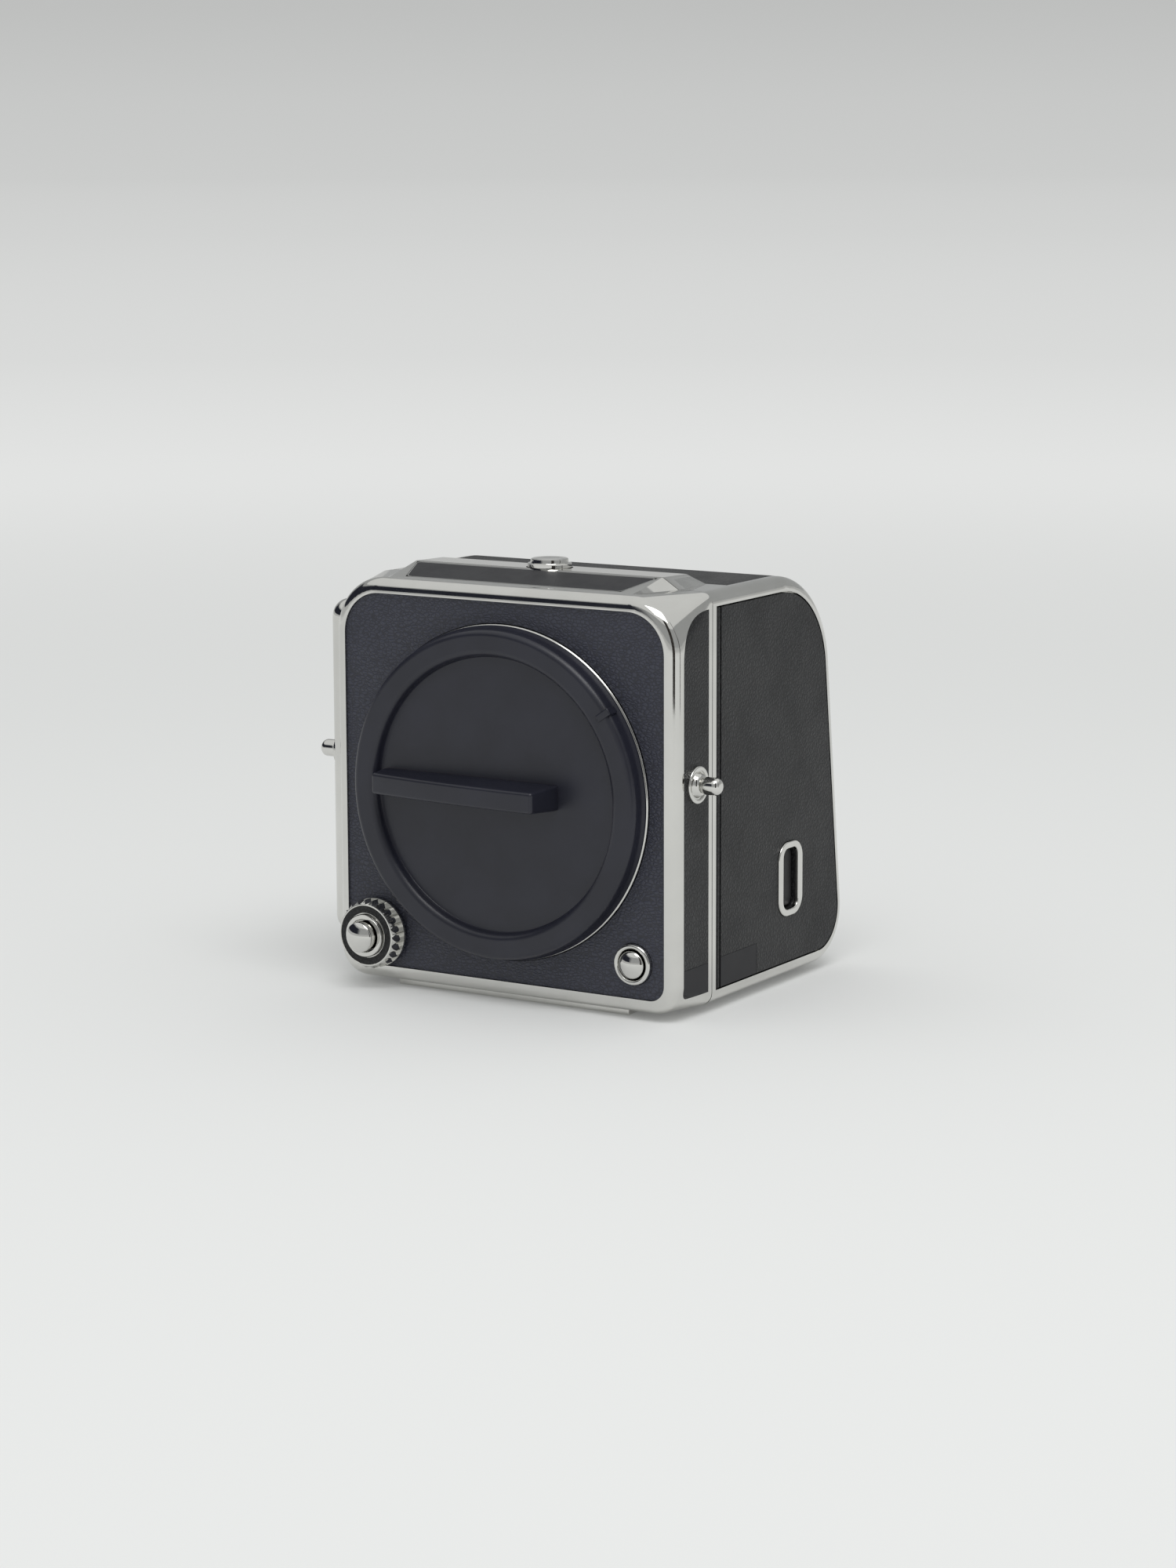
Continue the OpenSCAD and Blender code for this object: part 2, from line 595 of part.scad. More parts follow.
module back_front_plate() {
  color(black) difference() {
    box([-cave_x + 0.05, back_y, plate_t + wall + 0.05], [cave_x - 1.1, back_y + 2, top_z - wall - 0.05]);
    box([-30.5, back_y - 1, axis_z - 24.5], [30.5, back_y + 1.4, axis_z + 24.5]);
    box([-23, back_y - 1, axis_z - 17.5], [23, back_y + 3, axis_z + 17.5]);
  }
}
module sensor_glass() {
  color([0.6, 0.75, 0.8, 0.4]) box([-25, back_y + 2, axis_z - 19.5], [25, back_y + 3, axis_z + 19.5]);
}
module sensor() {
  color([0.15, 0.12, 0.2]) box([-24, back_y + 3, axis_z - 18.5], [24, back_y + 5, axis_z + 18.5]);
}
module sensor_carrier() {
  color(steel) box([-30, back_y + 5, axis_z - 25], [30, back_y + 7.6, axis_z + 25]);
}
module main_board() {
  color(green) box([-cave_x + 2.65, back_y + 7.6, plate_t + wall + 6.6],
    [cave_x - 8.65, back_y + 9.2, top_z - wall - 6.6]);
}
module chassis() {
  color(steel) difference() {
    box([-cave_x + 0.05, chassis_y, plate_t + wall], [cave_x - 1.6, chassis_y + chassis_t, top_z - wall]);
    for (x = base_screw_x) for (s = [-1, 1]) rod_z(s * x, chassis_y + 1, plate_t, plate_t + 9, 0.8);
  }
}
module battery() {
  color(black) box([2, chassis_y + chassis_t, plate_t + 5.2],
    [cave_x - 3.05, chassis_y + 20, axis_z + 3.8]);
}
module card_block() {
  color(black) difference() {
    box([8, chassis_y + chassis_t, axis_z + 6.8], [cave_x - 3.65, chassis_y + 28, axis_z + 20.8]);
    for (z = card_z) box([6, chassis_y + 3, z], [cave_x, chassis_y + 27.2, z + 2.3]);
  }
}
module cards() {
  color([0.1, 0.15, 0.4]) for (z = card_z)
    box([6.4, chassis_y + 3.1, z], [cave_x - 2.25, chassis_y + 27.1, z + 2.1]);
}
module port_block() {
  color(black) difference() {
    box([port_x - 4.9, chassis_y - 12, axis_z - 26], [port_x, chassis_y, axis_z + 30]);
    for (z = [-20, -6, 8, 22])
      box([port_x - 2.4, chassis_y - 9.5, axis_z + z - 1.6],
        [cave_x, chassis_y - 2.5, axis_z + z + 1.6]);
  }
}
// Rounded window outline on the side door, between two X
module window(x0, x1, w, h, r) {
  hull() for (y = [-w / 2 + r, w / 2 - r]) for (z = [-h / 2 + r, h / 2 - r])
    rod_x(win_y + y, win_z + z, x0, x1, r);
}
module side_door() {
  color(black) difference() {
    union() {
      side_form(plate_x0, plate_x1, door_in, hinge_y);
      rod_z(hinge_x, hinge_y, plate_t + door_in, top_z - door_in, nose_r);
      rod_z(hinge_x, hinge_y, plate_t + door_in - 1, top_z - door_in + 1, 0.45);
    }
    window(plate_x0 - 1, plate_x1 + 1, 6.6, 13.5, 2);
    box([plate_x1, hinge_y + nose_r, 0], [half_w + 2, rear_y + 20, top_z + 5]);
  }
}
// Leather field of the door, from the hinge nose to the rear
module door_skin() { side_form(plate_x1, half_w, door_in, hinge_y + nose_r); }
module badge_box() {
  box([plate_x1 - 1, door_y, 0], [half_w + 1, door_y + 17.4, plate_t + door_in + badge_h + 0.3]);
}
module back_leather_right() {
  color(hide) difference() { door_skin(); badge_box(); window(plate_x1 - 1, half_w + 1, 10.7, 16.6, 4); }
}
module back_badge() {
  color(black) intersection() { door_skin(); badge_box(); }
}
module door_bezel() {
  color(chrome) difference() {
    window(plate_x1, half_w + 0.35, 10.6, 16.5, 4);
    window(plate_x1 - 1, half_w + 1, 6.6, 13.5, 2);
  }
}
module door_button() {
  color(black) {
    window(plate_x0 - 0.9, half_w - 1.25, 6, 12.9, 1.8);
    window(plate_x0 - 1.2, plate_x0 - 0.3, 8, 15, 2);
  }
}
module back_leather_top() { color(hide) top_skin(0); }
module back_leather_left() { color(hide) left_skin(0); }
module screen_housing() {
  color(black) at_rear() difference() {
    hull() {
      rod_x(-screen_r, screen_z, -screen_half, screen_half, screen_r);
      box([-screen_half, -2 * screen_r, screen_low], [screen_half, 0, screen_low + 1]);
    }
    box([-screen_half + 2, -1.6, screen_low + 2], [screen_half - 2, 1, screen_z - 0.5]);
    for (s = [-1, 1]) rod_x(-screen_r, screen_z, s * screen_half - 1.5, s * screen_half + 1.5, 1);
  }
}
module screen_panel() {
  color([0.05, 0.06, 0.08]) at_rear()
    box([-screen_half + 2, -1.6, screen_low + 2], [screen_half - 2, -1, screen_z - 0.5]);
}
module screen_glass() {
  color([0.1, 0.1, 0.12, 0.5]) at_rear()
    box([-screen_half + 2, -1, screen_low + 2], [screen_half - 2, 0, screen_z - 0.5]);
}
module screen_pins() {
  color(steel) at_rear() for (s = [-1, 1])
    rod_x(-screen_r, screen_z, s * screen_half + s / 2 - 2, s * screen_half + s / 2 + 2, 1);
}
module screen_tray() {
  color(black) at_rear()
    box([-screen_half - 2, -rear_wall - 1.5, screen_low - 1.5], [screen_half + 2, -rear_wall, 24]);
}
module key(i) {
  color(black) at_rear() translate([(i - 3) * key_pitch, 0, key_z]) {
    box([-key_half, -rear_wall - 0.6, -2.3], [key_half, 0.4, 2.3]);
    box([-key_half - key_flange, -rear_wall - 1.3, -3.1],
      [key_half + key_flange, -rear_wall - 0.3, 3.1]);
  }
}
module key_board() {
  color(green) at_rear() {
    box([-board_half, -rear_wall - 3.9, key_z - 3.4], [board_half, -rear_wall - 2.9, key_z + 3.3]);
    for (s = [-1, 1]) translate([s * (board_half - 0.95), 0, key_z])
      box([-0.95, -rear_wall - 3, -3.4], [0.95, -rear_wall, 3.3]);
  }
}
module back_release() {
  color(chrome) box([-9, back_y + 2.3, top_z - wall - 1.8], [9, back_y + 8.4, top_z - wall - 0.3]);
  color(chrome) translate([0, button_y, 0]) rotate_extrude() polygon([[0, top_z - 4.4], [2, top_z - 4.4],
    [2, top_z + ridge_h - 0.2], [top_button_r, top_z + ridge_h - 0.2],
    [top_button_r, top_z + ridge_h + 0.8],
    [top_button_r - 0.7, top_z + ridge_h + 0.9], [top_button_r - 0.7, top_z + ridge_h + 1.6],
    [top_button_r - 0.9, top_z + ridge_h + 1.8], [0, top_z + ridge_h + 1.8]]);
}
module rear_feet() {
  color(black) for (x = [-30, 30]) rod_z(x, low_c_y - 6, 0, plate_t, 4);
}
module base_screws() {
  color(steel) for (x = base_screw_x) for (s = [-1, 1])
  translate([s * x, chassis_y + 1, plate_t]) difference() {
    union() {
      cylinder(h = 1, r = 1.75);
      translate([0, 0, 0.5]) cylinder(h = 7.5, r = 0.75);
    }
    box([-1.2, -0.2, -1], [1.2, 0.2, 0.4]);
  }
}

body_frame();
body_base();
front_leather();
side_leather_right();
side_leather_left();
body_badge();
mount_wall();
mount_flange();
flange_screws();
throat_baffle();
rear_flange();
body_board();
name_plate();
tripod_plate();
tripod_bush();
plate_screws();
strap_lugs();
lug_plates();
dial_post();
control_dial();
dial_ring();
shutter_button();
shutter_spring();
release_bezel();
release_button();
lock_pin();
release_spring();
body_cap();
back_frame();
back_front_plate();
sensor_glass();
sensor();
sensor_carrier();
main_board();
chassis();
battery();
card_block();
cards();
port_block();
side_door();
back_leather_right();
back_badge();
door_bezel();
door_button();
back_leather_top();
back_leather_left();
screen_housing();
screen_panel();
screen_glass();
screen_pins();
screen_tray();
key(1);  // key_1
key(2);  // key_2
key(3);  // key_3
key(4);  // key_4
key(5);  // key_5
key_board();
back_release();
rear_feet();
base_screws();
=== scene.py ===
# %% [markdown]
# # A medium format digital camera, dressed for its portrait
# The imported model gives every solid, body and joint in metres. This lesson keeps those solids as the
# frame, gives the pieces that show a finer skin, and paints each one with a procedural finish. Sizes
# are written in mm, and places are read from the boxes of the solids.

# %% Load the frame
import bpy
import json
from math import atan2, cos, pi, radians, sin
from mathutils import Matrix, Vector


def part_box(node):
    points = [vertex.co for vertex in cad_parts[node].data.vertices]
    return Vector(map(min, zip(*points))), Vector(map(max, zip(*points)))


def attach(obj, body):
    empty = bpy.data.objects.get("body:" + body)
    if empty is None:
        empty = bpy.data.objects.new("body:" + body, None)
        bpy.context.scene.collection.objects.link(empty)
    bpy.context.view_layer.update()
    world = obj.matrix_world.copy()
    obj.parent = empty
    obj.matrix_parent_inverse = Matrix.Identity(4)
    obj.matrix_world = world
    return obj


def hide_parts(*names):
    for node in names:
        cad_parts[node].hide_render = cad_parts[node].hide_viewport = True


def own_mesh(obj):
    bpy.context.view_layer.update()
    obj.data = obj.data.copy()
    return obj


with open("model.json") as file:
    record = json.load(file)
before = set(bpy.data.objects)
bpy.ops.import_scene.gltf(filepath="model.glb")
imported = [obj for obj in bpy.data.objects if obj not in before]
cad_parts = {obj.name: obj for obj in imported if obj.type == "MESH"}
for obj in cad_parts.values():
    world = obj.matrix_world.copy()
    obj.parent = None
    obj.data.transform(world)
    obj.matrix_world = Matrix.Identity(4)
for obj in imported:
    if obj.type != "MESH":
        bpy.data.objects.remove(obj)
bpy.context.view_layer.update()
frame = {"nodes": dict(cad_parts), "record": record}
MM = 0.001
record = frame["record"]
body_of = {node: body for body, nodes in record["behaviour"]["bodies"].items() for node in nodes}
slot_of = {part["node"]: part["material_slot"] for part in record["subparts"]}


def box_mm(node):
    """Low corner, middle and high corner of a solid's box, in mm to the hundredth."""
    low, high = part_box(node)
    return [[round(value / MM, 2) for value in place] for place in (low, (low + high) / 2, high)]


# %% [markdown]
# ## The camera that takes the portrait
# The picture was taken with a long lens from the front right, a little above the object. The place,
# the direction and the roll were found by lining the solids up with the picture's edges. Three axes
# that make a matrix say all of this at once, with no order of angles to get wrong.

# %% Place the camera
FOCAL_MM = 119.86
SENSOR_MM = 36
EYE = (0.44731, -0.69769, 0.19122)
VIEW_LINE = (-0.5180, 0.8379, -0.1724)
ROLL = radians(-0.193)

lens = bpy.data.cameras.new("portrait_lens")
lens.lens = FOCAL_MM
lens.sensor_width = SENSOR_MM
lens.sensor_fit = "HORIZONTAL"
camera = bpy.data.objects.new("portrait_camera", lens)
bpy.context.collection.objects.link(camera)
look = Vector(VIEW_LINE).normalized()
side = look.cross(Vector((0, 0, 1))).normalized()
over = side.cross(look)
right = side * cos(ROLL) + over * sin(ROLL)
up = over * cos(ROLL) - side * sin(ROLL)
turn = Matrix((right, up, -look)).transposed().to_4x4()
camera.matrix_world = Matrix.Translation(EYE) @ turn
bpy.context.scene.camera = camera
bpy.context.scene.view_settings.view_transform = "Standard"
print("camera looks", [round(x, 3) for x in look])

# %% [markdown]
# ## Node helpers
# A finish is a small graph of nodes. One helper adds a node, sets what is constant and links what
# varies, so that the later cells read like a list of ingredients.

# %% Helpers for node graphs
def put(tree, kind, inputs=None, **settings):
    """Add a shader node, link the inputs that are sockets and set the others."""
    node = tree.nodes.new("ShaderNode" + kind)
    for name, value in settings.items():
        setattr(node, name, value)
    for name, value in (inputs or {}).items():
        if isinstance(value, bpy.types.NodeSocket):
            tree.links.new(value, node.inputs[name])
        else:
            node.inputs[name].default_value = value
    return node


def calc(tree, operation, first, second):
    return put(tree, "Math", {0: first, 1: second}, operation=operation).outputs[0]


def span(tree, value, low, high, to_low=0.0, to_high=1.0, smooth=False):
    """Map a value from one range to another, along a line or an easy curve."""
    ends = {"Value": value, "From Min": low, "From Max": high, "To Min": to_low, "To Max": to_high}
    curve = "SMOOTHSTEP" if smooth else "LINEAR"
    return put(tree, "MapRange", ends, interpolation_type=curve).outputs["Result"]


def tint(tree, mask, dark, light):
    """Mix two colours by a mask: the first where it is 0, the second where it is 1."""
    node = put(tree, "Mix", {"Factor": mask}, data_type="RGBA")
    node.inputs["A"].default_value = (*dark, 1)
    node.inputs["B"].default_value = (*light, 1)
    return node.outputs["Result"]


def linear(r, g, b):
    """Turn screen levels of 0 to 255 into the linear values that shaders take."""
    return tuple(c / 255 / 12.92 if c <= 10 else ((c / 255 + 0.055) / 1.055) ** 2.4 for c in (r, g, b))


print("a mid grey of 128 is", [round(c, 3) for c in linear(128, 128, 128)])

# %% [markdown]
# ## Floor
# The object stands on a wide pale sweep that greys a little with distance. Near the object the floor
# is a plain matt surface, so that it takes the shadow. Further out it fades into a glow of the colour
# that the sweep has in the picture, so the pale field needs no extra light on the object.

# %% Lay the floor
FLOOR_REACH = 9
FLOOR_DROP = 0.0001
FLOOR_LEVELS = [(0.0, 230), (0.13, 227), (0.24, 217), (0.55, 209), (0.88, 205), (1.0, 203)]
MATT_WHITE = (0.80, 0.807, 0.803, 1)
GLOW_STARTS, GLOW_FULL, LEAST_GLOW = 0.35, 1.3, 0.12


def grade(ramp, levels):
    """Fill a colour ramp with greys, each given as its place and its screen level."""
    while len(ramp.elements) < len(levels):
        ramp.elements.new(0.5)
    for stop, (place, level) in zip(ramp.elements, levels):
        stop.position = place
        stop.color = (*linear(level, level + 1, level), 1)


bpy.ops.object.select_all(action="DESELECT")
bpy.ops.mesh.primitive_circle_add(vertices=128, radius=FLOOR_REACH, fill_type="NGON",
                                  location=(0, 0, -FLOOR_DROP))
floor = bpy.context.object
floor.name = "floor"
bpy.ops.object.transform_apply(location=True)
paint = bpy.data.materials.new("sweep")
paint.use_nodes = True
tree = paint.node_tree
tree.nodes.clear()
where = put(tree, "TexCoord").outputs["Object"]
reach = put(tree, "VectorMath", {0: where}, operation="LENGTH").outputs["Value"]
steps = put(tree, "ValToRGB", {"Fac": span(tree, reach, 0, FLOOR_REACH)})
grade(steps.color_ramp, FLOOR_LEVELS)
matt = put(tree, "BsdfDiffuse", {"Color": MATT_WHITE})
glow = put(tree, "Emission", {"Color": steps.outputs["Color"], "Strength": 1.0})
share = span(tree, reach, GLOW_STARTS, GLOW_FULL, LEAST_GLOW, 1.0, smooth=True)
fade = put(tree, "MixShader", {0: share, 1: matt.outputs[0], 2: glow.outputs[0]})
put(tree, "OutputMaterial", {"Surface": fade.outputs[0]})
floor.data.materials.append(paint)
print("floor reaches", FLOOR_REACH, "m")

# %% [markdown]
# ## Room
# The room behind the sweep is a grade of greys by height. A ramp on the world's direction is enough,
# because the lens sees only a narrow band of it above the floor.

# %% Light the room
ROOM_LEVELS = [(0.0, 203), (0.02, 199), (0.044, 190), (0.12, 190), (0.37, 214), (1.0, 226)]
ROOM_LOW, ROOM_HIGH = -0.02, 0.98

world = bpy.data.worlds.new("studio")
bpy.context.scene.world = world
world.use_nodes = True
tree = world.node_tree
tree.nodes.clear()
height = put(tree, "SeparateXYZ", {0: put(tree, "TexCoord").outputs["Generated"]}).outputs["Z"]
steps = put(tree, "ValToRGB", {"Fac": span(tree, height, ROOM_LOW, ROOM_HIGH)})
grade(steps.color_ramp, ROOM_LEVELS)
sky = put(tree, "Background", {"Color": steps.outputs["Color"], "Strength": 1.0})
put(tree, "OutputWorld", {"Surface": sky.outputs[0]})
print("room grades from", ROOM_LEVELS[0][1], "to", ROOM_LEVELS[-1][1])

# %% [markdown]
# ## Cards
# Polished metal only looks like metal when it has something darker to show, so cards stand round the
# set, as in a real studio: a ring that is dark behind the photographer and grey behind the object, and
# two narrow cards by its right. Only reflections show them. The lens and the soft light pass them by.

# %% Stand the cards
RING_RADIUS, RING_TALL, RING_MIDDLE = 2.4, 1.5, 1.09
CARD_REACH, CARD_TALL, CARD_MIDDLE = 0.46, 0.56, 0.281
BRIGHT_WAY = (0.906, 0.423, 0)
PALE_FROM, PALE_TO, PALE_LIFT = 1.35, 1.84, 2.0
DARK_UNDER, LIGHT_OVER = -1.5, -0.8
CLOUD_SCALE = 1.3


def card(name, piece, dark, light):
    """Give a card its clouded paper, dark away from BRIGHT_WAY and paler towards its top."""
    piece.name = name
    piece.visible_camera = piece.visible_diffuse = piece.visible_shadow = False
    paper = bpy.data.materials.new(name)
    paper.use_nodes = True
    tree = paper.node_tree
    shader = tree.nodes["Principled BSDF"].inputs
    shader["Roughness"].default_value = 1.0
    shader["Specular IOR Level"].default_value = 0.0
    where = put(tree, "TexCoord").outputs["Object"]
    cloud = put(tree, "TexNoise", {"Vector": where, "Scale": CLOUD_SCALE, "Detail": 2.0}).outputs["Fac"]
    away = put(tree, "VectorMath", {0: where, 1: BRIGHT_WAY}, operation="DOT_PRODUCT").outputs["Value"]
    height = put(tree, "SeparateXYZ", {0: where}).outputs["Z"]
    lift = span(tree, height, PALE_FROM, PALE_TO, 0.0, PALE_LIFT, smooth=True)
    back = calc(tree, "ADD", calc(tree, "ADD", away, cloud), lift)
    mask = span(tree, back, DARK_UNDER, LIGHT_OVER, smooth=True)
    tree.links.new(tint(tree, mask, dark, light), shader["Base Color"])
    piece.data.materials.append(paper)


bpy.ops.object.select_all(action="DESELECT")
bpy.ops.mesh.primitive_cylinder_add(vertices=96, radius=RING_RADIUS, depth=RING_TALL,
                                    end_fill_type="NOTHING", location=(0, 0, RING_MIDDLE))
bpy.ops.object.transform_apply(location=True)
card("ring_card", bpy.context.object, linear(46, 48, 58), linear(196, 197, 198))
for name, bearing, width in (("front_card", -38, 0.15), ("side_card", 11, 0.035)):
    angle = radians(bearing)
    bpy.ops.object.select_all(action="DESELECT")
    bpy.ops.mesh.primitive_plane_add(size=1, rotation=(pi / 2, 0, radians(bearing + 90)),
                                     location=(CARD_REACH * cos(angle), CARD_REACH * sin(angle), CARD_MIDDLE))
    bpy.ops.transform.resize(value=(width, CARD_TALL, 1), orient_type="LOCAL")
    bpy.ops.object.transform_apply(location=True, rotation=True, scale=True)
    card(name, bpy.context.object, linear(56, 54, 56), linear(66, 62, 60))

# %% [markdown]
# ## Soft box
# One wide soft box hangs over the object, towards the front right, and the pale room does the rest. Its
# size sets how soft the shadow's edge is.

# %% Hang the soft box
LAMP_PLACE = (0.34, -0.34, 1.04)
LAMP_AIM = Vector((0, 0, 0.04))
LAMP_WATTS = 4.2
LAMP_WIDTH, LAMP_DEPTH = 0.8, 0.5

lamp = bpy.data.lights.new("soft_box", "AREA")
lamp.energy = LAMP_WATTS
lamp.shape = "RECTANGLE"
lamp.size = LAMP_WIDTH
lamp.size_y = LAMP_DEPTH
soft_box = bpy.data.objects.new("soft_box", lamp)
bpy.context.collection.objects.link(soft_box)
soft_box.location = LAMP_PLACE
soft_box.rotation_euler = (LAMP_AIM - soft_box.location).to_track_quat("-Z", "Y").to_euler()
print("lamp", LAMP_WATTS, "W at", LAMP_PLACE)

# %% [markdown]
# ## Hide grain
# Three effects return in many finishes, so each is a node group that is built once. The first is the
# grain of pressed hide: small cells with creases between them. Distance to the edge of Voronoi cells
# gives both, and a little noise bends the cells so that they don't look like a mosaic.

# %% Hide grain group
def new_group(name, inputs, outputs):
    """Start a node group and return it with its inner ends."""
    group = bpy.data.node_groups.new(name, "ShaderNodeTree")
    for label, kind, value in inputs:
        socket = group.interface.new_socket(label, in_out="INPUT", socket_type="NodeSocket" + kind)
        socket.default_value = value
    for label, kind in outputs:
        group.interface.new_socket(label, in_out="OUTPUT", socket_type="NodeSocket" + kind)
    return group, group.nodes.new("NodeGroupInput").outputs, group.nodes.new("NodeGroupOutput").inputs


hide_grain, given, wanted = new_group(
    "hide_grain", [("Stretch", "Vector", (1, 1, 1)), ("Slant", "Vector", (0, 0, 0)), ("Size", "Float", 0.7)],
    [("Height", "Float"), ("Crease_shade", "Float")])
where = put(hide_grain, "TexCoord").outputs["Object"]
place = put(hide_grain, "Mapping", {"Vector": where, "Rotation": given["Slant"], "Scale": given["Stretch"]},
            vector_type="TEXTURE").outputs[0]
pitch = calc(hide_grain, "DIVIDE", 1 / MM, given["Size"])
drift = put(hide_grain, "TexNoise", {"Vector": place, "Scale": pitch, "Detail": 1.0}).outputs["Color"]
sway = calc(hide_grain, "DIVIDE", 0.4, pitch)
shift = put(hide_grain, "VectorMath", {0: drift, "Scale": sway}, operation="SCALE").outputs[0]
bent = put(hide_grain, "VectorMath", {0: shift, 1: place}, operation="ADD").outputs[0]
cells = put(hide_grain, "TexVoronoi", {"Vector": bent, "Scale": pitch, "Randomness": 1.0},
            feature="DISTANCE_TO_EDGE")
rim = cells.outputs["Distance"]
hide_grain.links.new(span(hide_grain, rim, 0.0, 0.34, smooth=True), wanted["Height"])
# The crease mask carries painted shade: the leathers colour the creases darker with it.
hide_grain.links.new(span(hide_grain, rim, 0.16, 0.02, smooth=True), wanted["Crease_shade"])
print("group", hide_grain.name, [s.name for s in wanted if s.name])

# %% [markdown]
# ## Marks of handling, bite of the mould
# Hands leave soft smudges and fine hairlines on anything smooth: broad noise for the first, noise that
# is stretched into lines for the second. A moulding or a coat of paint has a fine even bite instead,
# with slow patches where the tool was more worn.

# %% Handling and mould groups
HAIRLINE_STRETCH = (60, 4000, 900)
HAIRLINE_LEAN = (0.3, 0.7, 0.5)
PATCH_SCALE = 90.0

handling, given, wanted = new_group("handling", [("Size", "Float", 12.0)],
                                    [("Smudge", "Float"), ("Hairline", "Float")])
place = put(handling, "TexCoord").outputs["Object"]
scale = calc(handling, "DIVIDE", 1 / MM, given["Size"])
smudge = put(handling, "TexNoise", {"Vector": place, "Scale": scale, "Detail": 5.0, "Roughness": 0.6,
                                    "Distortion": 0.4}).outputs["Fac"]
handling.links.new(span(handling, smudge, 0.35, 0.68, smooth=True), wanted["Smudge"])
long_way = put(handling, "Mapping", {"Vector": place, "Rotation": HAIRLINE_LEAN,
                                     "Scale": HAIRLINE_STRETCH}).outputs[0]
line = put(handling, "TexNoise", {"Vector": long_way, "Scale": 1.0, "Detail": 2.0}).outputs["Fac"]
handling.links.new(span(handling, line, 0.68, 0.76), wanted["Hairline"])

mould_bite, given, wanted = new_group("mould_bite", [("Size", "Float", 0.25)],
                                      [("Height", "Float"), ("Patch", "Float")])
place = put(mould_bite, "TexCoord").outputs["Object"]
scale = calc(mould_bite, "DIVIDE", 1 / MM, given["Size"])
bite = put(mould_bite, "TexNoise", {"Vector": place, "Scale": scale, "Detail": 3.0, "Roughness": 0.65})
mould_bite.links.new(bite.outputs["Fac"], wanted["Height"])
patch = put(mould_bite, "TexNoise", {"Vector": place, "Scale": PATCH_SCALE, "Detail": 4.0}).outputs["Fac"]
mould_bite.links.new(span(mould_bite, patch, 0.3, 0.7, smooth=True), wanted["Patch"])
print("groups:", [g.name for g in bpy.data.node_groups])

# %% [markdown]
# ## Finishes
# Every finish below is one Principled shader. What varies over the surface, such as colour, roughness
# and relief, comes from the groups, and what is the same everywhere is set on the shader itself.

# %% Helpers for finishes
finishes = {}


def finish(slot, **constants):
    """Start the material of a slot and return its tree and the shader's inputs."""
    material = bpy.data.materials.new(slot)
    material.use_nodes = True
    shader = material.node_tree.nodes["Principled BSDF"]
    for name, value in constants.items():
        shader.inputs[name.replace("_", " ")].default_value = value
    finishes[slot] = material
    return material.node_tree, shader.inputs


def effect(tree, group, **values):
    """Place a shared effect in a finish and return what it gives."""
    node = tree.nodes.new("ShaderNodeGroup")
    node.node_tree = group
    for name, value in values.items():
        node.inputs[name].default_value = value
    return node.outputs


def shade(tree, shader, mask, dark, light):
    tree.links.new(tint(tree, mask, dark, light), shader["Base Color"])


def gloss(tree, shader, mask, smooth, rough, low=0, high=1):
    tree.links.new(span(tree, mask, low, high, smooth, rough), shader["Roughness"])


def relief(tree, shader, height, strength, depth_mm):
    bump = put(tree, "Bump", {"Height": height, "Strength": strength, "Distance": depth_mm * MM})
    tree.links.new(bump.outputs["Normal"], shader["Normal"])


print("slots to finish:", sorted(set(slot_of.values())))

# %% [markdown]
# ## Metals
# The frames and controls are nickel plate over a polished casting: bright and a little warm, with faint
# clouding from hands. Screws and springs are plain steel with hairlines, and some parts inside are a sand
# cast alloy. All three are full metals, so the colour is the colour of the reflection.

# %% Metals
tree, shader = finish("polished_metal", Metallic=1.0)
marks = effect(tree, handling, Size=14.0)
shade(tree, shader, marks["Smudge"], dark=(0.67, 0.665, 0.64), light=(0.71, 0.705, 0.68))
gloss(tree, shader, marks["Smudge"], smooth=0.05, rough=0.10)
relief(tree, shader, effect(tree, mould_bite, Size=1.6)["Height"], strength=0.03, depth_mm=0.02)

tree, shader = finish("plain_steel", Metallic=1.0)
marks = effect(tree, handling, Size=5.0)
shade(tree, shader, marks["Smudge"], dark=(0.42, 0.42, 0.43), light=(0.55, 0.55, 0.56))
gloss(tree, shader, marks["Hairline"], smooth=0.28, rough=0.42)
relief(tree, shader, marks["Hairline"], strength=0.1, depth_mm=0.02)

tree, shader = finish("cast_alloy", Metallic=1.0)
sand = effect(tree, mould_bite, Size=0.4)
shade(tree, shader, sand["Patch"], dark=(0.40, 0.40, 0.41), light=(0.50, 0.50, 0.51))
gloss(tree, shader, sand["Patch"], smooth=0.42, rough=0.55)
relief(tree, shader, sand["Height"], strength=0.35, depth_mm=0.08)
print("metals:", list(finishes))

# %% [markdown]
# ## Leather
# The front is covered in a soft blue-black hide whose fine wrinkles lie across the body. The sides and
# the top of the back have a neutral hide with a round pebble grain. One recipe makes both, with its own
# stretch, slant and size of grain, and with painted shade: a darker colour laid into the creases.

# %% Leather finishes
def leather(slot, shine, stretch, slant, size, top, crease_shade, depth_mm):
    tree, shader = finish(slot, Specular_IOR_Level=shine)
    grain = effect(tree, hide_grain, Stretch=stretch, Slant=slant, Size=size)
    marks = effect(tree, handling, Size=16.0)
    # Painted shade: the creases take a darker colour than the tops of the cells.
    shade(tree, shader, grain["Crease_shade"], linear(*top), linear(*crease_shade))
    gloss(tree, shader, marks["Smudge"], smooth=0.42, rough=0.52)
    relief(tree, shader, grain["Height"], strength=0.6, depth_mm=depth_mm)


leather("front_hide", shine=0.55, stretch=(1.45, 1.0, 0.85), slant=(0, 0.1, 0), size=0.78,
        top=(54, 56, 69), crease_shade=(38, 39, 49), depth_mm=0.14)
leather("side_hide", shine=0.36, stretch=(1.0, 1.0, 1.2), slant=(0.3, 0, 0), size=0.8,
        top=(35, 36, 38), crease_shade=(21, 21, 22), depth_mm=0.12)
print("leathers:", [f for f in finishes if "hide" in f])

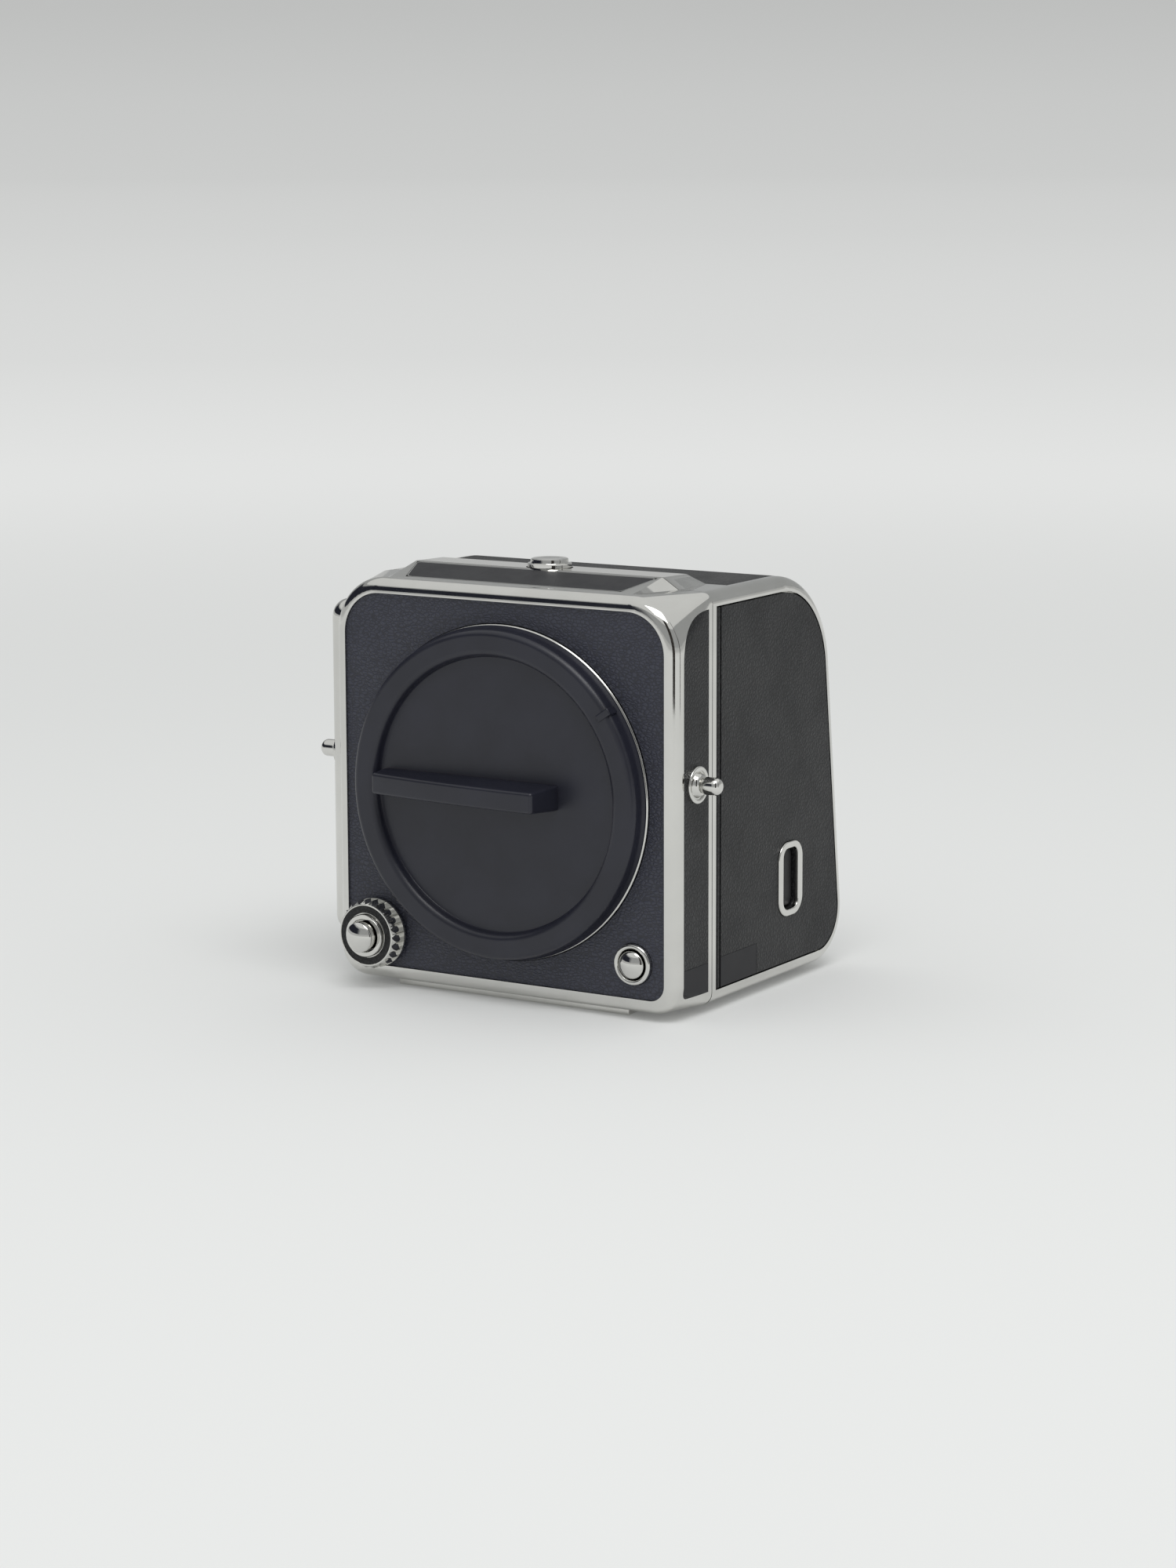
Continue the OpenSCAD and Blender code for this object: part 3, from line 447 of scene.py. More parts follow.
# %% [markdown]
# ## Plastics and paint
# The cap is a fine matt moulding, the label plates are dark and satin, and what lies inside is flat
# black so that no stray light gets about. The mouldings, the paint and the rubber share one recipe.

# %% Plastics and paint
def moulded(slot, shine, size, dark, light, smooth, rough, strength=0.3, depth_mm=0.06):
    tree, shader = finish(slot, Specular_IOR_Level=shine)
    skin = effect(tree, mould_bite, Size=size)
    shade(tree, shader, skin["Patch"], linear(*dark), linear(*light))
    gloss(tree, shader, skin["Height"], smooth, rough, low=0.3, high=0.7)
    relief(tree, shader, skin["Height"], strength, depth_mm)


moulded("cap_plastic", shine=0.5, size=0.22, dark=(30, 31, 41), light=(35, 36, 47), smooth=0.28, rough=0.40,
        strength=0.25, depth_mm=0.05)
moulded("black_paint", shine=0.4, size=0.18, dark=(28, 28, 30), light=(36, 36, 38), smooth=0.58, rough=0.72)
moulded("black_plastic", shine=0.4, size=0.3, dark=(26, 26, 28), light=(34, 34, 36), smooth=0.40, rough=0.52)
moulded("foot_rubber", shine=0.4, size=0.5, dark=(30, 30, 30), light=(40, 39, 38), smooth=0.78, rough=0.90)

tree, shader = finish("label_plate", Specular_IOR_Level=0.2)
marks = effect(tree, handling, Size=9.0)
shade(tree, shader, marks["Smudge"], linear(34, 34, 37), linear(40, 40, 43))
gloss(tree, shader, marks["Smudge"], smooth=0.34, rough=0.46)
relief(tree, shader, marks["Hairline"], strength=0.05, depth_mm=0.02)
print("plastics and paint:", [f for f in finishes if f.split("_")[0] in ("cap", "label", "black", "foot")])

# %% [markdown]
# ## Boards, chips and glass
# A board has a solder mask over copper, and a brick pattern stands for its tracks. A chip is nearly a
# mirror with a faint change of hue. The glass is coated and carries a few smudges.

# %% Boards, chips and glass
TRACKS_PER_M = 420
SHEEN_SCALE = 300

tree, shader = finish("board", Specular_IOR_Level=0.5)
where = put(tree, "TexCoord").outputs["Object"]
where = put(tree, "Mapping", {"Vector": where, "Scale": (TRACKS_PER_M,) * 3}).outputs[0]
copper = put(tree, "TexBrick", {
    "Vector": where, "Scale": 1.0, "Mortar Size": 0.06, "Brick Width": 1.7, "Row Height": 0.55,
    "Color1": (1, 1, 1, 1), "Color2": (0.8, 0.8, 0.8, 1), "Mortar": (0, 0, 0, 1)}).outputs["Color"]
shade(tree, shader, copper, linear(24, 70, 46), linear(14, 50, 32))
gloss(tree, shader, copper, smooth=0.30, rough=0.42)
relief(tree, shader, copper, strength=0.3, depth_mm=0.04)

tree, shader = finish("chip", Specular_IOR_Level=0.6)
where = put(tree, "TexCoord").outputs["Object"]
where = put(tree, "Mapping", {"Vector": where, "Scale": (SHEEN_SCALE,) * 3}).outputs[0]
sheen = put(tree, "TexNoise", {"Vector": where, "Scale": 0.15, "Detail": 2.0}).outputs["Fac"]
shade(tree, shader, span(tree, sheen, 0.35, 0.65), linear(18, 20, 30), linear(28, 24, 36))
gloss(tree, shader, sheen, smooth=0.10, rough=0.18, low=0.3, high=0.7)

tree, shader = finish("clear_glass", Transmission_Weight=1.0, IOR=1.5, Coat_Weight=0.3)
marks = effect(tree, handling, Size=18.0)
shade(tree, shader, marks["Smudge"], dark=(0.80, 0.86, 0.88), light=(0.88, 0.92, 0.93))
gloss(tree, shader, marks["Smudge"], smooth=0.02, rough=0.07)
print("finishes:", len(finishes))

# %% [markdown]
# ## Working on a piece
# Blender's operators act on what is selected, so every step starts by choosing one piece. These small
# helpers select it, go in and out of edit mode, choose some of its points, edges or faces, apply a
# modifier, copy it and join it. The last one gives a finished piece the material of its slot, and its body.

# %% Helpers for pieces
def only(piece):
    bpy.ops.object.select_all(action="DESELECT")
    piece.select_set(True)
    bpy.context.view_layer.objects.active = piece


def edit(mode="EDIT"):
    bpy.ops.object.mode_set(mode=mode)


def choose(piece, kind, test):
    """Select the vertices, edges or faces that pass the test, and stay in edit mode."""
    only(piece)
    edit()
    bpy.ops.mesh.select_mode(type=kind)
    bpy.ops.mesh.select_all(action="DESELECT")
    edit("OBJECT")
    mesh = piece.data
    items = {"VERT": mesh.vertices, "EDGE": mesh.edges, "FACE": mesh.polygons}[kind]
    for item in items:
        item.select = bool(test(item))
    count = sum(item.select for item in items)
    edit()
    return count


def pick(piece, test):
    """Select the vertices whose place in mm passes the test."""
    return choose(piece, "VERT", lambda vertex: test(vertex.co / MM))


def apply_modifier(piece, name, kind, **settings):
    modifier = piece.modifiers.new(name, kind)
    for key, value in settings.items():
        setattr(modifier, key, value)
    only(piece)
    bpy.ops.object.modifier_apply(modifier=name)


def smooth(piece, angle=32):
    """Shade smooth up to an angle, and let large faces lead the normals."""
    only(piece)
    bpy.ops.object.shade_smooth_by_angle(angle=radians(angle))
    apply_modifier(piece, "Even", "WEIGHTED_NORMAL", keep_sharp=True)
    return piece


def copy_of(piece):
    """Copy a piece that repeats, with a mesh of its own."""
    copy = piece.copy()
    copy.data = piece.data.copy()
    bpy.context.collection.objects.link(copy)
    return copy


def join(pieces):
    """Join pieces into the first one."""
    only(pieces[0])
    for extra in pieces[1:]:
        extra.select_set(True)
    bpy.ops.object.join()
    return pieces[0]


def wear(piece, body, slot, *nodes, material=None):
    """Give a piece the material of its slot, or the material named, put it on its body, and hide the solids
    it stands for.
    """
    piece.data.materials.clear()
    piece.data.materials.append(finishes[material or slot])
    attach(piece, body)
    if nodes:
        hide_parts(*nodes)
    return piece


print("helpers work on", len(frame["nodes"]), "solids")

# %% [markdown]
# ## Dressing the solids
# A solid from the model arrives as loose triangles. For a piece that shows, a copy is merged, its flat
# parts are joined again, its sharp edges get the small round that a real edge has, and its normals are
# evened out, so that polished metal reflects without facets.

# %% Helper that dresses a solid
WELD = 4e-6
SLIVER = 1e-5
FLAT_ANGLE = radians(0.6)
LEVEL_SLACK_MM = 1e-3


def dress(*nodes, round_mm=0.0, segments=2, angle=32, parting=None, material=None):
    """Skin one solid, or solids that meet at the level parting, in mm, without a seam."""
    copies = [bpy.data.objects.new(node + "_skin", frame["nodes"][node].data.copy()) for node in nodes]
    for copy in copies:
        bpy.context.collection.objects.link(copy)
        only(copy)
        bpy.ops.mesh.customdata_custom_splitnormals_clear()
        if parting:
            pick(copy, lambda p: abs(p.z - parting) < LEVEL_SLACK_MM)
            bpy.ops.mesh.delete(type="ONLY_FACE")
            edit("OBJECT")
    piece = join(copies) if len(copies) > 1 else copies[0]
    only(piece)
    edit()
    bpy.ops.mesh.select_all(action="SELECT")
    bpy.ops.mesh.remove_doubles(threshold=WELD)
    bpy.ops.mesh.dissolve_degenerate(threshold=SLIVER)
    bpy.ops.mesh.dissolve_limited(angle_limit=FLAT_ANGLE)
    edit("OBJECT")
    if round_mm:
        apply_modifier(piece, "Edge", "BEVEL", width=round_mm * MM, segments=segments, limit_method="ANGLE",
                       angle_limit=radians(angle), use_clamp_overlap=False)
    smooth(piece, angle)
    return wear(piece, body_of[nodes[0]], slot_of[nodes[0]], *nodes, material=material)


print("ready to dress", len(slot_of), "solids")

# %% [markdown]
# ## Frames and leathers
# The two polished frames keep the shape of the castings. The body's frame and its base are parted in the
# model and meet without a seam on the real camera, so one skin covers both. The leathers are cut sheets,
# so their edges turn in a little where they meet the metal.

# %% Dress frames and leathers
SHEET_ROUND = 0.12
LEATHERS = ("front_leather", "side_leather_right", "side_leather_left", "back_leather_right",
            "back_leather_top", "back_leather_left")
BARE_LABELS = ("body_badge", "back_badge")

base_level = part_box("body_base")[1].z / MM
for piece in (dress("body_frame", "body_base", parting=base_level), dress("back_frame")):
    print(piece.name, len(piece.data.polygons), "faces")
for node in LEATHERS + BARE_LABELS:
    piece = dress(node, round_mm=SHEET_ROUND)
    print(piece.name, len(piece.data.polygons), "faces")

# %% [markdown]
# ## Turned pieces
# Buttons, collars, lugs and the cap are all turned shapes. The way to make one by hand is to draw half
# of its outline as a line of points and spin it about its own axis, then weld the seam. An outline is a
# list of radius and height in mm, from the seat outwards.

# %% Helpers that turn an outline
TURN_TO = {"-Y": (pi / 2, 0, 0), "+X": (0, pi / 2, 0), "-X": (0, -pi / 2, 0), "+Z": (0, 0, 0)}


def turned(name, outline, steps=96):
    """Spin an outline about the Z axis."""
    bpy.ops.object.select_all(action="DESELECT")
    bpy.ops.mesh.primitive_plane_add(size=MM, location=(0, 0, 0))
    piece = bpy.context.object
    piece.name = name
    edit()
    bpy.ops.mesh.select_mode(type="VERT")
    bpy.ops.mesh.merge(type="CENTER")
    points = [Vector((r * MM, 0, h * MM)) for r, h in outline]
    bpy.ops.transform.translate(value=points[0])
    for start, end in zip(points, points[1:]):
        bpy.ops.mesh.extrude_region_move(TRANSFORM_OT_translate={"value": end - start})
    bpy.ops.mesh.select_all(action="SELECT")
    bpy.ops.mesh.spin(steps=steps, angle=2 * pi, center=(0, 0, 0), axis=(0, 0, 1))
    bpy.ops.mesh.select_all(action="SELECT")
    bpy.ops.mesh.remove_doubles(threshold=1e-6)
    bpy.ops.mesh.normals_make_consistent(inside=False)
    edit("OBJECT")
    return piece


def stand(piece, centre, axis="-Y"):
    """Turn a piece to face an axis and set it at a place in mm."""
    piece.rotation_euler = TURN_TO[axis]
    piece.location = [c * MM for c in centre]
    only(piece)
    bpy.ops.object.transform_apply(location=True, rotation=True, scale=True)
    return piece


print("a turned piece can face", list(TURN_TO))

# %% [markdown]
# ## Round stretches of an outline
# Rounded rims and domed crowns are worked out, not drawn point by point: an arc from its centre, and a
# dome from its width and its rise.

# %% Helpers for round stretches
def arc(centre, radius, start, end, count):
    angles = [radians(start + (end - start) * i / count) for i in range(count + 1)]
    return [(centre[0] + radius * cos(a), centre[1] + radius * sin(a)) for a in angles]


def dome(radius, crown, foot, count=10):
    """Outline of a shallow dome from its rim at height foot to its crown, as radius and height."""
    rise = crown - foot
    ball = (radius ** 2 + rise ** 2) / (2 * rise)
    open_angle = atan2(radius, ball - rise)
    angles = [open_angle * (1 - i / count) for i in range(count)] + [0.0]
    return [(ball * sin(a), crown - ball + ball * cos(a)) for a in angles]


print("a dome 3 mm wide and 1 mm high:", [tuple(round(v, 2) for v in p) for p in dome(3, 1, 0, 3)])

# %% [markdown]
# ## Shutter button and its post
# The shutter button is a domed nickel stud in the middle of the dial. It stands in a fixed collar, and
# a thin ring of leather lies round it in the dial's face.

# %% Turn the shutter button
SHUTTER_SEAT = 1.3

dial_x, _, dial_z = box_mm("shutter_button")[1]
collar_y = box_mm("dial_post")[0][1]
stud_outline = [(0, -7.4), (1.5, -7.4), (1.5, 0), (3.2, 0), (3.3, 0.1), (3.3, 2.9), (3.26, 3.05)]
shutter = stand(turned("shutter_stud", stud_outline + dome(3.15, crown=4.3, foot=3.2)),
                (dial_x, collar_y + SHUTTER_SEAT, dial_z))
wear(smooth(shutter, angle=50), "shutter", "polished_metal", "shutter_button")
collar_outline = [(1.56, -10.25), (5.4, -10.25), (5.4, -9.25), (4.2, -9.25), (4.2, -0.8), (4.55, -0.8),
                  (4.72, -0.65), (4.75, -0.3), (4.55, 0), (3.75, 0), (3.6, -0.15), (3.6, -2.8),
                  (1.56, -2.8), (1.56, -10.25)]
post = stand(turned("dial_collar", collar_outline), (dial_x, collar_y, dial_z))
wear(smooth(post, angle=40), "camera", "polished_metal", "dial_post")
dress("dial_ring", round_mm=0.08, material="side_hide")
print("turned:", [o.name for o in (shutter, post)])

# %% [markdown]
# ## Lens release
# The lens release is a second domed stud, at the other corner of the front, in a bezel with a round lip.

# %% Turn the lens release
FLANGE_DEPTH = 0.8

release_x, _, release_z = box_mm("release_button")[1]
stud_y = box_mm("release_button")[2][1] - FLANGE_DEPTH
bezel_y = box_mm("release_bezel")[2][1]
stud_outline = [(0, -FLANGE_DEPTH), (4.2, -FLANGE_DEPTH), (4.2, -0.1), (3.0, -0.1), (3.0, 4.2), (2.96, 4.35)]
stud = stand(turned("lens_release_stud", stud_outline + dome(2.86, crown=5.6, foot=4.5)),
             (release_x, stud_y, release_z))
wear(smooth(stud, angle=50), "release", "polished_metal", "release_button")
bezel_outline = [(3.3, 0), (4.45, 0), (4.45, 1.55)] + arc((3.88, 1.72), 0.57, -10, 185, 12) \
    + [(3.3, 1.4), (3.3, 0)]
bezel = stand(turned("lens_release_bezel", bezel_outline), (release_x, bezel_y, release_z))
wear(smooth(bezel, angle=50), "camera", "polished_metal", "release_bezel")
print("turned:", [o.name for o in (stud, bezel)])

# %% [markdown]
# ## Control dial
# The dial is turned with a bevelled front, and its rim is scooped all round for the fingertip. Each
# scoop is one round cutter. One cutter is made and copied round the dial, the copies become one piece,
# and a single cut takes them away. A narrow flange stays behind them.

# %% Cut the dial's scoops
SCOOPS = 24
SCOOP_RADIUS, SCOOP_LENGTH = 1.12, 6
SCOOP_CIRCLE = 8.06
DIAL_FLANGE = 0.7

dial_y = box_mm("control_dial")[2][1]
dial_outline = [(4.25, 0), (7.5, 0), (7.6, 0.1), (7.6, 2.95), (6.84, 4.34), (6.74, 4.4), (6.55, 4.4),
                (6.5, 4.35), (6.5, 3.8), (4.95, 3.8), (4.95, 4.36), (4.9, 4.4), (4.3, 4.4), (4.25, 4.35),
                (4.25, 0)]
dial = stand(turned("finger_dial", dial_outline, steps=144), (dial_x, dial_y, dial_z))
scoop_y = dial_y - DIAL_FLANGE - SCOOP_LENGTH / 2
bpy.ops.object.select_all(action="DESELECT")
bpy.ops.mesh.primitive_cylinder_add(vertices=32, radius=SCOOP_RADIUS * MM, depth=SCOOP_LENGTH * MM,
                                    rotation=(pi / 2, 0, 0))
first = bpy.context.object
cutters = [first] + [copy_of(first) for _ in range(SCOOPS - 1)]
for count, cutter in enumerate(cutters):
    angle = 2 * pi * count / SCOOPS
    place = Vector((dial_x + SCOOP_CIRCLE * cos(angle), scoop_y, dial_z + SCOOP_CIRCLE * sin(angle)))
    cutter.location = place * MM
scoops = join(cutters)
bpy.ops.object.transform_apply(location=True, rotation=True)
apply_modifier(dial, "Scoops", "BOOLEAN", operation="DIFFERENCE", object=scoops, solver="EXACT")
bpy.data.objects.remove(scoops)
wear(smooth(dial, angle=30), "dial", "polished_metal", "control_dial")
print(dial.name, len(dial.data.polygons), "faces after the cut")

# %% [markdown]
# ## Springs under the buttons
# Each button stands on a small coil spring. A ring of wire is drawn along a screw line and wound into a
# spring that fills the box of its solid.

# %% Wind the springs
WIRE_SHARE = 0.3
STEPS_A_TURN = 24


def coil(name, node, turns):
    """Wind a spring that fills the box of its solid."""
    low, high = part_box(node)
    middle, length, outer = (low + high) / 2, high.y - low.y, (high.x - low.x) / 2
    wire = length / turns * WIRE_SHARE
    bpy.ops.object.select_all(action="DESELECT")
    bpy.ops.mesh.primitive_circle_add(vertices=10, radius=wire, rotation=(pi / 2, 0, 0),
                                      location=(outer - wire, 0, wire))
    spring = bpy.context.object
    spring.name = name
    bpy.ops.object.transform_apply(location=True, rotation=True)
    steps = STEPS_A_TURN * turns
    apply_modifier(spring, "Wind", "SCREW", axis="Z", angle=2 * pi * turns, screw_offset=length - 2 * wire,
                   steps=steps, render_steps=steps, use_merge_vertices=True)
    edit()
    bpy.ops.mesh.select_all(action="SELECT")
    bpy.ops.mesh.fill_holes(sides=0)
    bpy.ops.mesh.normals_make_consistent(inside=False)
    edit("OBJECT")
    spring.rotation_euler = (-pi / 2, 0, 0)
    spring.location = (middle.x, low.y, middle.z)
    only(spring)
    bpy.ops.object.transform_apply(location=True, rotation=True)
    bpy.ops.object.shade_smooth_by_angle(angle=radians(50))
    wear(spring, "camera", "plain_steel", node)
    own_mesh(spring)
    print(name, "is", round(length / MM, 2), "mm long with", turns, "turns")


coil("shutter_coil", "shutter_spring", turns=2)
coil("release_coil", "release_spring", turns=6)

# %% [markdown]
# ## Strap lugs
# Each lug is a waisted post with a rounded head on a round plate. One is turned and copied, the copy
# faces the other way, and each pair is one piece as in the model.

# %% Turn the lugs
LUG_OUT = 6

lug_low, (_, lug_y, lug_z), lug_high = box_mm("strap_lugs")
right_root, left_root = lug_high[0] - LUG_OUT, lug_low[0] + LUG_OUT
lug_outline = [(0, -2), (1.25, -2), (1.25, 1.7), (1.55, 1.78), (1.75, 1.95), (1.87, 2.25), (1.9, 2.6),
               (1.9, 4.5)] + arc((0.5, 4.6), 1.4, 0, 90, 10) + [(0, LUG_OUT)]
plate_outline = [(1.3, 0), (4, 0), (4, 0.45)] + arc((3.7, 0.5), 0.3, 0, 90, 4) \
    + [(3.25, 0.8), (3.12, 0.72), (3.05, 0.45), (2.8, 0.42), (2.62, 0.6), (2.5, 0.95), (2.3, 1.3),
       (2.0, 1.58), (1.7, 1.7), (1.3, 1.72), (1.3, 0)]
for name, outline, node in (("strap_posts", lug_outline, "strap_lugs"),
                            ("strap_plates", plate_outline, "lug_plates")):
    one = turned(name, outline)
    other = copy_of(one)
    pair = join([stand(one, (right_root, lug_y, lug_z), "+X"), stand(other, (left_root, lug_y, lug_z), "-X")])
    wear(smooth(pair, angle=40), "camera", "polished_metal", node)

# %% [markdown]
# ## Cap on the lens mount
# The cap is one moulding: a rounded rim, a recessed disc, three bayonet tabs behind it, a small index
# rib on the rim and a handle bar that rises from left to right. The round part is turned first.

# %% Turn the cap
SKIRT_DEPTH = 3.85
DISC_HEIGHT = 2.05

axis_z = box_mm("body_cap")[1][2]
cap_y = box_mm("body_cap")[2][1] - SKIRT_DEPTH
rear_outline = [(0, 0.5), (26.7, 0.5), (26.7, -SKIRT_DEPTH), (28.2, -SKIRT_DEPTH), (28.2, 0), (31.8, 0),
                (31.8, 1), (34.9, 1), (34.9, 0), (35.9, 0)]
lip_outline = [(36.1, 0.2), (36.05, 0.5), (35.7, 0.95), (35.52, 1.6), (35.5, 2.85)]
rim_outline = arc((34.1, 2.85), 1.4, 0, 90, 8)[1:] + [(31.4, 4.25)] + arc((31.3, 2.75), 1.5, 93, 178, 8)
disc_outline = [(29.72, 2.3), (29.5, 2.08), (29.1, DISC_HEIGHT), (15, DISC_HEIGHT), (0, DISC_HEIGHT)]
cap_outline = rear_outline + lip_outline + rim_outline + disc_outline
cap = smooth(stand(turned("lens_cap", cap_outline, steps=224), (0, cap_y, axis_z)), angle=40)
print(cap.name, len(cap.data.polygons), "faces")

# %% [markdown]
# ## Handle bar of the cap
# The bar starts low on the left and rises to the right, where the fingers grip it, and its crest is
# narrower than its foot. It starts as a block that is cut across at stations, and then each station's
# crest is lifted and drawn in. A bevel rounds all of its edges at the end.

# %% Block out the handle bar
BAR_LEFT, BAR_RIGHT = -28.8, 15.7
FOOT_UNDER, FOOT_OVER = -2.1, 3.4
CREST_UNDER, CREST_OVER = -1.55, 2.95
BLOCK_HEIGHT = 3
BLOCK_SINK = 0.4
BAR_STATIONS = range(-26, 15, 4)


def block(name, low, high):
    """Make a block between two corners in mm."""
    bpy.ops.object.select_all(action="DESELECT")
    bpy.ops.mesh.primitive_cube_add(size=1)
    piece = bpy.context.object
    piece.name = name
    low, high = Vector(low) * MM, Vector(high) * MM
    edit()
    bpy.ops.transform.resize(value=high - low)
    bpy.ops.transform.translate(value=(low + high) / 2)
    edit("OBJECT")
    return piece


disc_y = cap_y - DISC_HEIGHT
bar = block("cap_bar", (BAR_LEFT, disc_y - BLOCK_HEIGHT, axis_z + FOOT_UNDER),
            (BAR_RIGHT, disc_y + BLOCK_SINK, axis_z + FOOT_OVER))
only(bar)
edit()
for station in BAR_STATIONS:
    bpy.ops.mesh.select_all(action="SELECT")
    bpy.ops.mesh.bisect(plane_co=(station * MM, 0, 0), plane_no=(1, 0, 0))
edit("OBJECT")
print(bar.name, len(bar.data.vertices), "points before lifting")

# %% Lift the crest of the bar
CREST_HEIGHTS = [(BAR_LEFT, 4.9), (-14, 7.1), (0, 8.4), (BAR_RIGHT, 9.0)]
CREST_SWELL = 0.35
END_LEAN = 1.1
NEAR = 0.05
BAR_ROUND = 0.7
EDGE_ANGLE = radians(40)


def bar_height(x):
    """Height of the crest over the disc at a station, with a slight swell between the given heights."""
    for (x0, h0), (x1, h1) in zip(CREST_HEIGHTS, CREST_HEIGHTS[1:]):
        if x <= x1:
            t = (x - x0) / (x1 - x0)
            return h0 + (h1 - h0) * t + CREST_SWELL * t * (1 - t)
    return CREST_HEIGHTS[-1][1]


crest_side = disc_y - BLOCK_HEIGHT / 2
for x in sorted({round(v.co.x / MM, 3) for v in bar.data.vertices}):
    for foot, crest in ((FOOT_UNDER, CREST_UNDER), (FOOT_OVER, CREST_OVER)):
        z = axis_z + foot
        if pick(bar, lambda p: abs(p.x - x) < NEAR and abs(p.z - z) < NEAR and p.y < crest_side):
            lift = bar_height(x) - BLOCK_HEIGHT
            bpy.ops.transform.translate(value=(0, -lift * MM, (crest - foot) * MM))
        edit("OBJECT")
if pick(bar, lambda p: p.x > BAR_RIGHT - 0.2 and p.y < disc_y - BLOCK_HEIGHT):
    bpy.ops.transform.translate(value=(-END_LEAN * MM, 0, 0))
edit("OBJECT")
apply_modifier(bar, "Edge", "BEVEL", width=BAR_ROUND * MM, segments=4, limit_method="ANGLE",
               angle_limit=EDGE_ANGLE, use_clamp_overlap=False)
smooth(bar, angle=40)
print("bar stands", round((disc_y - min(v.co.y for v in bar.data.vertices) / MM), 2), "mm over the disc")

# %% [markdown]
# ## Rib and tabs of the cap
# The index rib on the rim shows the thumb where the cap locks. Behind the cap three tabs hold it in the
# bayonet. A tab is a small face that is spun through part of a turn, and then copied. All of it is one
# moulding, so the pieces are joined.

# %% Add the rib and the tabs, then join the cap
RIB_BEARING = radians(-35)
RIB_INNER, RIB_OUTER, RIB_HALF = 32.5, 36.1, 0.8
RIB_FRONT, RIB_REAR, RIB_ROUND = 4.5, 1.2, 0.3
TAB_STARTS = (25, 145, 265)
TAB_SWEEP = radians(40)
TAB_INNER, TAB_WIDE, TAB_THICK = 27.4, 2.7, 1.0
TAB_BEHIND = 3.15

rib = block("cap_rib", (RIB_INNER, cap_y - RIB_FRONT, -RIB_HALF), (RIB_OUTER, cap_y - RIB_REAR, RIB_HALF))
apply_modifier(rib, "Edge", "BEVEL", width=RIB_ROUND * MM, segments=3, limit_method="ANGLE",
               angle_limit=EDGE_ANGLE)
rib.rotation_euler = (0, RIB_BEARING, 0)
rib.location = (0, 0, axis_z * MM)
only(rib)
bpy.ops.object.transform_apply(location=True, rotation=True)
smooth(rib)
bpy.ops.object.select_all(action="DESELECT")
bpy.ops.mesh.primitive_plane_add(size=1)
first = bpy.context.object
edit()
bpy.ops.transform.resize(value=(TAB_WIDE * MM, TAB_THICK * MM, 1))
bpy.ops.transform.translate(value=((TAB_INNER + TAB_WIDE / 2) * MM, (cap_y + TAB_BEHIND) * MM, 0))
bpy.ops.mesh.spin(steps=16, angle=TAB_SWEEP, center=(0, 0, 0), axis=(0, 1, 0))
bpy.ops.mesh.select_all(action="SELECT")
bpy.ops.mesh.normals_make_consistent(inside=False)
edit("OBJECT")
tabs = [first] + [copy_of(first) for _ in TAB_STARTS[1:]]
for tab, start in zip(tabs, TAB_STARTS):
    tab.rotation_euler = (0, radians(start), 0)
    tab.location = (0, 0, axis_z * MM)
    only(tab)
    bpy.ops.object.transform_apply(location=True, rotation=True)
    smooth(tab)
join([cap, bar, rib, *tabs])
wear(cap, "cap", "cap_plastic", "body_cap")
print(cap.name, len(cap.data.polygons), "faces with bar, rib and tabs")

# %% [markdown]
# ## Inset plate on the hump
# A dark satin plate lies in the sloping top of the body. Its corners are rounded, so its upright edges
# are bevelled. A thin bright line runs round it, so its top face is inset once and the narrow border
# takes the metal.

# %% Finish the inset plate
CORNER_ROUND = 1.2
BRIGHT_LINE = 0.22


def upright(edge):
    ends = [plate.data.vertices[index].co / MM for index in edge.vertices]
    way = ends[0] - ends[1]
    return abs(way.x) < 0.05 and abs(way.y) < 0.4 and abs(way.z) > 0.3


def faces_up(face):
    return face.normal.z > 0.9


plate = dress("name_plate")
plate.data.materials.append(finishes["polished_metal"])
print("corner edges:", choose(plate, "EDGE", upright))
bpy.ops.mesh.bevel(offset=CORNER_ROUND * MM, segments=5, affect="EDGES")
edit("OBJECT")
choose(plate, "FACE", faces_up)
bpy.ops.mesh.inset(thickness=BRIGHT_LINE * MM, depth=0)
edit("OBJECT")
for face in plate.data.polygons:
    face.material_index = 1 if faces_up(face) and not face.select else 0
print("border faces:", sum(face.material_index for face in plate.data.polygons))

# %% [markdown]
# ## Release on the back
# The round button on top of the back is turned, with a slightly hollow crown for the fingertip. Under
# it a flat bar carries the catch, so the two are one piece and move together.

